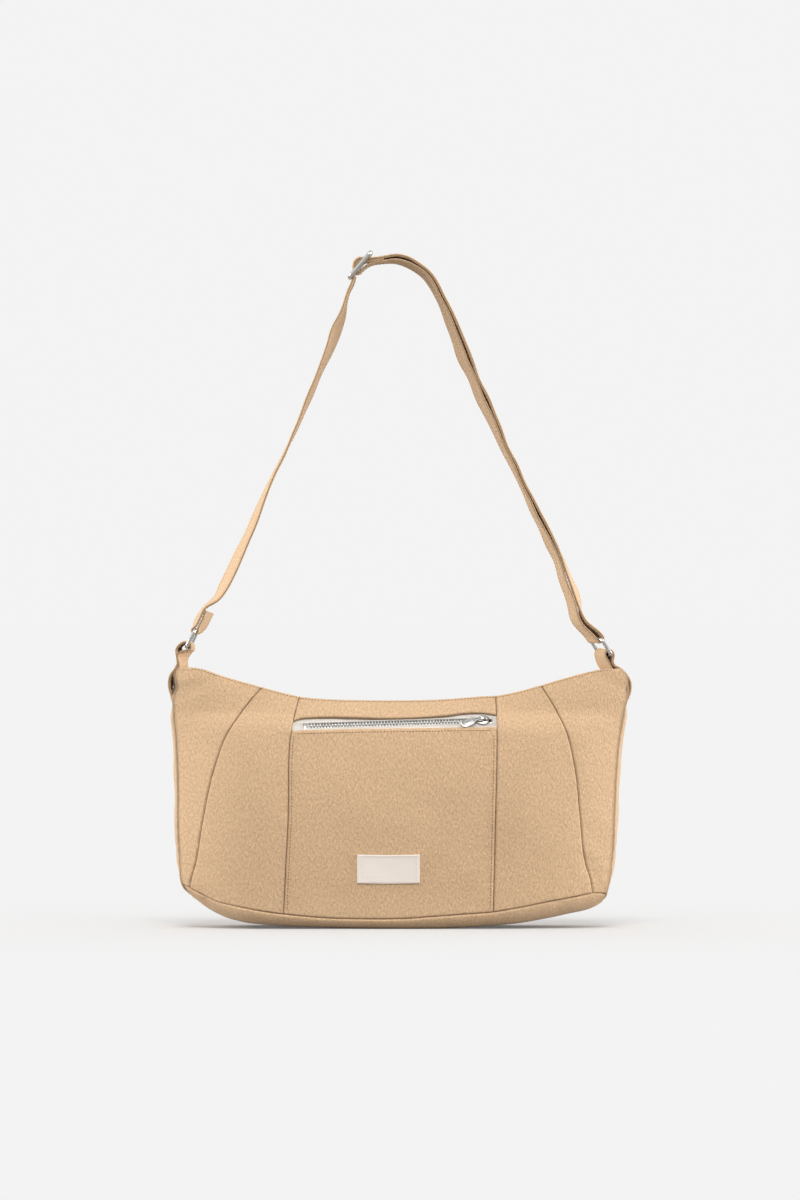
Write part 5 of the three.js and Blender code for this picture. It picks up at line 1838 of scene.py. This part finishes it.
def weave_ribbon(name, parts, bodies, start, end, nodes=(), first=0, last=None):
    """One length of a ribbon with its stitches."""
    rings, uv, seam, rows = parts
    last = len(rings) if last is None else last
    ribbon = loft_piece(name, rings[first:last], uv[first:last].copy(), seam[first:last].copy())
    finish_piece(ribbon, strap_material(), None, nodes)
    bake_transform(ribbon)
    inside = slice(first + BARE_ROWS, last - BARE_ROWS)
    sewn = [(points[inside], normals[inside]) for points, normals in rows]
    stitches = stitch_piece(name + "_stitches", sewn, STRAP_STITCH)
    finish_piece(stitches, strap_thread_material(), None)
    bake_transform(stitches)


# Up the left leg: shares of the left ring's distance, lifts above it and the strap's twist in degrees
LEFT_LEG = (
    (-0.873, 33.9, 10),
    (-0.846, 41.9, 16),
    (-0.766, 70.2, 16),
    (-0.693, 98.4, 12),
    (-0.625, 126.7, 4.5),
    (-0.544, 154.9, 1),
    (-0.47, 183.1, -3),
    (-0.402, 211.4, -6),
    (-0.331, 239.6, -13),
    (-0.304, 253.4, -17),
    (-0.2745, 266.4, -11),
    (-0.259, 276.4, -3),
)

# The right leg's inner layer in the same way, then the outer layer's distance, and the twist of each
RIGHT_LEG = (
    (-0.012, 316, 3.9, 5, 5),
    (0.038, 313.7, 3.8, 7, 7),
    (0.106, 306.4, 3.3, 7, 7),
    (0.155, 296.4, 3.0, 7, 7),
    (0.196, 283.7, 3.1, 8, 8),
    (0.234, 268.4, 3.0, 11, 11),
    (0.284, 245.4, 4.3, 14, 14),
    (0.348, 219.9, 2.7, 12, 12),
    (0.405, 198.5, 3.5, 13, 13),
    (0.479, 171.5, 2.5, 7.5, 7.5),
    (0.574, 137.9, 2.5, 4, 4),
    (0.687, 96.9, 4.0, 7, 5),
    (0.748, 76.5, 4.4, 10, 0),
    (0.796, 55.9, 5.3, 7, -8.5),
    (0.846, 35.5, 6.2, 3, -14.5),
    (0.88, 20.5, 5.2, 0, -7),
)


def leg_points(rows, place):
    (x, z), _ = place
    return np.array([(share * abs(x) / MM, z / MM + lift) for share, lift, *_ in rows])


def side_steps(points, steps):
    """Points moved off a route to its left, by a distance of their own."""
    along = unit(np.gradient(points, axis=0))
    return points + np.stack([-along[:, 1], along[:, 0]], -1) * np.array(steps)[:, None]


def from_adjuster(points):
    return [near_bar(ADJUSTER, d, n) for d, n in points]


# The twist of the sewn fold at the left ring, down its tail, round the bar and up
FOLD_TWIST = (13, 10, 5, 2, 0, 0, 0, 0, 0, 2, 5, 8, 4)
# The fold's tail and its rise, in millimetres beyond the bar and to its left
FOLD_TAIL, FOLD_RISE = ((18, -3.2), (10, -3.4)), ((10, 2.5), (18, 1.9))
# The angles from which and to which the strap wraps the rings' bars, in degrees
LEFT_WRAP, RIGHT_WRAP = (-75, -285), (-80, -280)
RIGHT_WRAP_POINTS = 10
# Two places along each length of the strap, below the adjuster and near it
LEFT_FOLLOW = (mm(-52, 0, 492), mm(-42, 0, 528))
RIGHT_FOLLOW = (mm(32, 0, 520), mm(-8, 0, 546))

# The strap through the adjuster, and its sewn end round the middle bar, in millimetres
WEAVE = (
    (-24, -7.2), (-15, -4.4), (-10.6, -2.4), (-5.6, 2.4), (-3, 4.6), (0, 5.4), (3, 4.6), (5.8, 1.4),
    (8.4, -2.1), (10.7, -4.7), (13.2, -7.1),
)
SEWN_END = (
    (12.5, -11.6), (7.1, -6.9), (1.5, -4.5), (-3, -3.8), (-6.2, -3.2), (-7.2, -1.9), (-5.8, -0.5),
    (-3, 1.5), (0, 2.95), (2.6, 1.8), (4, -0.4), (6, -2.9), (8.4, -5.4), (11, -7.9), (15.5, -12),
)


def left_strap_route():
    """From the sewn fold round the left ring, up to the adjuster and through it."""
    tail = [near_bar(LEFT_RING, RING_BAR + d, n) for d, n in FOLD_TAIL]
    rise = [near_bar(LEFT_RING, RING_BAR + d, n) for d, n in FOLD_RISE]
    leg = leg_points(LEFT_LEG, LEFT_RING)
    weave = from_adjuster(WEAVE)
    turn = turn_round(LEFT_RING, RING_BAR, *LEFT_WRAP, len(FOLD_TWIST) - len(tail) - len(rise))
    route = [*tail, *turn, *rise, *leg, *weave]
    leg_twist = [row[2] for row in LEFT_LEG]
    twist = np.concatenate([FOLD_TWIST, leg_twist, np.zeros(len(weave))])
    return route, twist


def right_strap_route():
    """From the adjuster down to the right ring, round it, back up, and round the middle bar."""
    leg = leg_points(RIGHT_LEG, RIGHT_RING)
    outer = side_steps(leg, [row[2] for row in RIGHT_LEG])
    inner_twist, outer_twist = np.array([row[3:] for row in RIGHT_LEG]).T
    start = from_adjuster(WEAVE[-2:])
    bend = turn_round(RIGHT_RING, RING_BAR, *RIGHT_WRAP, RIGHT_WRAP_POINTS)
    sewn = from_adjuster(SEWN_END)
    route = [*start, *outer, *bend, *leg[::-1], *sewn]
    still = [np.zeros(len(points)) for points in (start, bend, sewn)]
    twist = [still[0], -outer_twist, still[1], inner_twist[::-1], still[2]]
    return route, np.concatenate(twist)


LEFT_TAB = (
    (-180.2, 196), (-181.8, 203), (-184.2, 209.2), (-181, 213.8), (-181.6, 218.2), (-182.8, 222),
    (-180.8, 224.7), (-177.8, 226.1), (-174.6, 226.8), (-171.9, 228.6), (-172.4, 232),
    (-177.2, 233), (-182, 230), (-184.4, 225.6), (-183.6, 220), (-183, 216), (-184.8, 211.4),
    (-188, 206.4), (-189.3, 200), (-188.4, 193), (-186.4, 187.6), (-184.2, 183),
)
RIGHT_TAB = (
    (178, 197), (176.8, 205), (173.6, 212.2), (171.4, 216.6), (169.4, 220.6), (168.6, 223.8),
    (169.8, 226.4), (172.6, 227.2), (175.2, 225.4), (175.9, 222), (175.2, 218), (176.6, 214.6),
    (181, 212), (186.2, 206.6), (188.9, 200), (188.6, 194), (186.6, 188), (184.4, 183.4),
)

# Side, route, and the heights where a tab leaves the bag, where its loop begins, and where it nears the
# ring
TABS = (
    ("left", LEFT_TAB, 205, 220.5, 229.5),
    ("right", RIGHT_TAB, 201, 213.5, 222.5),
)


def sew_strap():
    """The strap in two lengths that meet in the adjuster, and the two tabs."""
    width = sizes().strap_width
    thickness = sizes().strap
    lengths = (
        (
            "strap_left_length",
            left_strap_route(),
            ("strap_left_leg", "strap_weave"),
            LEFT_FOLLOW,
        ),
        (
            "strap_right_length",
            right_strap_route(),
            ("strap_outer_run", "strap_inner_run", "strap_sewn_end"),
            RIGHT_FOLLOW,
        ),
    )
    for number, (name, (route, twist), nodes, follow) in enumerate(lengths):
        parts = ribbon_parts(route, twist, width, thickness, seed=80 + number)
        weave_ribbon(name, parts, ("strap", "adjuster"), *follow, nodes)
    for number, (side, route, low, middle, high) in enumerate(TABS):
        parts = ribbon_parts(route, np.zeros(len(route)), width, TAB_THICKNESS, seed=85 + number)
        loop = np.flatnonzero(parts[0][..., 2].mean(1) > mm(middle))
        first, last = loop[0], loop[-1] + 1
        heights = [mm(0, 0, height) for height in (low, middle, high)]
        below = (("bag", "strap"), *heights[:2])
        weave_ribbon(f"{side}_tab_cloth", parts, *below, [f"{side}_tab"], 0, first + 1)
        weave_ribbon(f"{side}_tab_back", parts, *below, (), last - 1)
        weave_ribbon(f"{side}_tab_loop", parts, ("strap", f"{side}_ring"), *heights[1:], (), first, last)


# Stage

CAMERA_LENS, CAMERA_SENSOR = 250, 36
CAMERA_CLIP = 400
CAMERA_DISTANCE = 6.833
CAMERA_HEIGHT = 0.268
SKY_LIGHT = 0.85
FLOOR_HALF = 80

# Name, share of the light, elevation and turn from the front in degrees, and softness in degrees
LAMPS = (
    ("top_light", 0.34, 52, 0, 22),
    ("left_light", 0.78, 9, -90, 30),
    ("right_light", 0.9, 10, 86, 30),
)

# Name, place, size and tilt in degrees of the cards that the metal sees
CARDS = (
    ("front_card", (0, -2.2, 0.35), (0.55, 0.4), 90),
    ("middle_card", (0.1, -2.1, 1.2), (1.2, 0.35), 65),
    ("high_card", (0, -1.0, 2.3), (1.4, 0.4), 25),
)
CARD_SHADE = (0.05, 0.045, 0.04)
FLOOR_SHADE = 0.801
FLOOR_BOUNCE = 0.42
FLOOR_GLOW = 0.12
FLOOR_GRAIN = 0.004
FLOOR_DROP = mm(0.05)


def set_backdrop(backdrop):
    """Even light from all round, and the backdrop colour where the camera and the metal see it."""
    world = bpy.data.worlds.new("studio")
    bpy.context.scene.world = world
    world.use_nodes = True
    tree = world.node_tree
    light = tree.nodes["Background"]
    light.inputs["Color"].default_value = (1, 1, 1, 1)
    light.inputs["Strength"].default_value = SKY_LIGHT
    seen = tree.nodes.new("ShaderNodeBackground")
    seen.inputs["Color"].default_value = (*backdrop, 1)
    path = tree.nodes.new("ShaderNodeLightPath")
    direct = path.outputs["Is Camera Ray"]
    for ray in ("Is Glossy Ray", "Is Transmission Ray"):
        either = tree.nodes.new("ShaderNodeMath")
        either.operation = "MAXIMUM"
        tree.links.new(direct, either.inputs[0])
        tree.links.new(path.outputs[ray], either.inputs[1])
        direct = either.outputs[0]
    mix = tree.nodes.new("ShaderNodeMixShader")
    tree.links.new(direct, mix.inputs[0])
    tree.links.new(light.outputs[0], mix.inputs[1])
    tree.links.new(seen.outputs[0], mix.inputs[2])
    tree.links.new(mix.outputs[0], tree.nodes["World Output"].inputs[0])


def set_lamps():
    for name, share, elevation, turn, softness in LAMPS:
        lamp = bpy.data.lights.new(name, "SUN")
        lamp.energy = share * math.pi
        lamp.angle = math.radians(softness)
        obj = bpy.data.objects.new(name, lamp)
        bpy.context.collection.objects.link(obj)
        up, round_way = math.radians(elevation), math.radians(turn)
        toward = Vector(
            (math.cos(up) * math.sin(round_way), -math.cos(up) * math.cos(round_way), math.sin(up))
        )
        obj.rotation_euler = toward.to_track_quat("Z", "Y").to_euler()


def set_floor(backdrop):
    """A pale floor that keeps a soft shadow."""
    s = Shader("floor")
    where = s.add("TexCoord", out="Object")
    grain = s.ramp(s.noise(where, 3.0), low=0.3, high=0.7, end=FLOOR_GRAIN)
    seen = s.mix(grain, (FLOOR_SHADE * (1 - FLOOR_GLOW),) * 3, (0, 0, 0))
    by_camera = s.add("LightPath", out="Is Camera Ray")
    colour = s.mix(by_camera, (FLOOR_BOUNCE,) * 3, seen)
    camera_only = s.math("MULTIPLY", by_camera, FLOOR_GLOW)
    material = s.finish(
        Base_Color=colour,
        Roughness=1.0,
        Specular_IOR_Level=0.0,
        Emission_Color=backdrop,
        Emission_Strength=camera_only,
    )
    bpy.ops.object.select_all(action="DESELECT")
    bpy.ops.mesh.primitive_plane_add(size=2 * FLOOR_HALF, location=(0, 0, -FLOOR_DROP))
    floor = bpy.context.object
    floor.name = "studio_floor"
    bpy.ops.object.transform_apply(location=True, rotation=True, scale=True)
    floor.data.materials.append(material)
    return floor


def spare_floor(floor):
    """Keep the side lamps off the floor, so that only the light from above draws a shadow there."""
    spared = bpy.data.collections.new("not lit from the sides")
    spared.objects.link(floor)
    spared.collection_objects[0].light_linking.link_state = "EXCLUDE"
    for name in ("left_light", "right_light"):
        linking = bpy.data.objects[name].light_linking
        linking.receiver_collection = spared
        linking.blocker_collection = spared


def set_cards():
    """Dark cards that only the metal sees, so that its edges read."""
    s = Shader("dark card")
    material = s.finish(Base_Color=CARD_SHADE, Roughness=1.0, Specular_IOR_Level=0.0)
    for name, place, size, tilt in CARDS:
        turn = (math.radians(tilt), 0, 0)
        bpy.ops.object.select_all(action="DESELECT")
        bpy.ops.mesh.primitive_plane_add(size=1, location=place, rotation=turn)
        card = bpy.context.object
        card.name = name
        card.scale = (*size, 1)
        bpy.ops.object.transform_apply(location=True, rotation=True, scale=True)
        card.data.materials.append(material)
        card.visible_camera = False
        card.visible_diffuse = False
        card.visible_shadow = False
        card.visible_transmission = False


def set_camera():
    camera = bpy.data.cameras.new("camera")
    camera.lens = CAMERA_LENS
    camera.sensor_fit = "VERTICAL"
    camera.sensor_height = CAMERA_SENSOR
    camera.clip_end = CAMERA_CLIP
    obj = bpy.data.objects.new("camera", camera)
    bpy.context.collection.objects.link(obj)
    obj.location = (0, -CAMERA_DISTANCE, CAMERA_HEIGHT)
    obj.rotation_euler = (math.pi / 2, 0, 0)
    bpy.context.scene.camera = obj


def set_stage():
    bpy.context.scene.view_settings.view_transform = "Standard"
    set_camera()
    set_backdrop(tuple(colours().backdrop))
    set_lamps()
    spare_floor(set_floor(tuple(colours().backdrop)))
    set_cards()


# Operators


class BAG_OT_stage(bpy.types.Operator):
    """Set the camera, the floor, the light and the backdrop"""

    bl_idname = "bag.stage"
    bl_label = "Stage"

    def execute(self, context):
        set_stage()
        return {"FINISHED"}


class BAG_OT_panels(bpy.types.Operator):
    """Sew the front and back panels"""

    bl_idname = "bag.panels"
    bl_label = "Panels"

    def execute(self, context):
        sew_panels()
        return {"FINISHED"}


class BAG_OT_base(bpy.types.Operator):
    """Sew the base and the two side gussets"""

    bl_idname = "bag.base"
    bl_label = "Base and gussets"

    def execute(self, context):
        sew_base()
        sew_gusset("canvas_left_gusset", -1, "left_side_gusset")
        sew_gusset("canvas_right_gusset", 1, "right_side_gusset")
        return {"FINISHED"}


class BAG_OT_lining(bpy.types.Operator):
    """Sew the lining and the pocket bag"""

    bl_idname = "bag.lining"
    bl_label = "Lining"

    def execute(self, context):
        sew_lining()
        return {"FINISHED"}


class BAG_OT_label(bpy.types.Operator):
    """Sew the bare label to the pocket panel"""

    bl_idname = "bag.label"
    bl_label = "Label"

    def execute(self, context):
        sew_label()
        return {"FINISHED"}


class BAG_OT_stitches(bpy.types.Operator):
    """Sew the stitch rows of the panels and the label"""

    bl_idname = "bag.stitches"
    bl_label = "Stitches"

    def execute(self, context):
        sew_stitches()
        return {"FINISHED"}


class BAG_OT_zips(bpy.types.Operator):
    """Make the pocket zip and the top zip"""

    bl_idname = "bag.zips"
    bl_label = "Zips"

    def execute(self, context):
        make_zips()
        sew_zip_ends()
        return {"FINISHED"}


class BAG_OT_hardware(bpy.types.Operator):
    """Make the rings and the strap adjuster"""

    bl_idname = "bag.hardware"
    bl_label = "Rings and adjuster"

    def execute(self, context):
        make_rings()
        make_adjuster()
        return {"FINISHED"}


class BAG_OT_strap(bpy.types.Operator):
    """Sew the strap and its tabs"""

    bl_idname = "bag.strap"
    bl_label = "Strap and tabs"

    def execute(self, context):
        sew_strap()
        return {"FINISHED"}


OPERATORS = (
    BAG_OT_stage,
    BAG_OT_panels,
    BAG_OT_base,
    BAG_OT_lining,
    BAG_OT_label,
    BAG_OT_stitches,
    BAG_OT_zips,
    BAG_OT_hardware,
    BAG_OT_strap,
)


class BAG_PT_panel(bpy.types.Panel):
    """Sizes, colours and pieces of the bag"""

    bl_idname = "BAG_PT_panel"
    bl_label = "Crossbody bag"
    bl_space_type = "VIEW_3D"
    bl_region_type = "UI"
    bl_category = "Bag"

    def draw(self, context):
        for group in (context.scene.bag_sizes, context.scene.bag_colours):
            box = self.layout.box()
            for name in group.__annotations__:
                box.prop(group, name)
        for operator in OPERATORS:
            self.layout.operator(operator.bl_idname)


CLASSES = (BagSizes, BagColours, *OPERATORS, BAG_PT_panel)


def register():
    for cls in CLASSES:
        bpy.utils.register_class(cls)
    bpy.types.Scene.bag_sizes = PointerProperty(type=BagSizes)
    bpy.types.Scene.bag_colours = PointerProperty(type=BagColours)


def unregister():
    del bpy.types.Scene.bag_colours
    del bpy.types.Scene.bag_sizes
    for cls in reversed(CLASSES):
        bpy.utils.unregister_class(cls)


def main():
    register()
    bpy.ops.bag.stage()
    bpy.ops.bag.panels()
    bpy.ops.bag.base()
    bpy.ops.bag.lining()
    bpy.ops.bag.label()
    bpy.ops.bag.stitches()
    bpy.ops.bag.zips()
    bpy.ops.bag.hardware()
    bpy.ops.bag.strap()


if __name__ == "__main__":
    main()
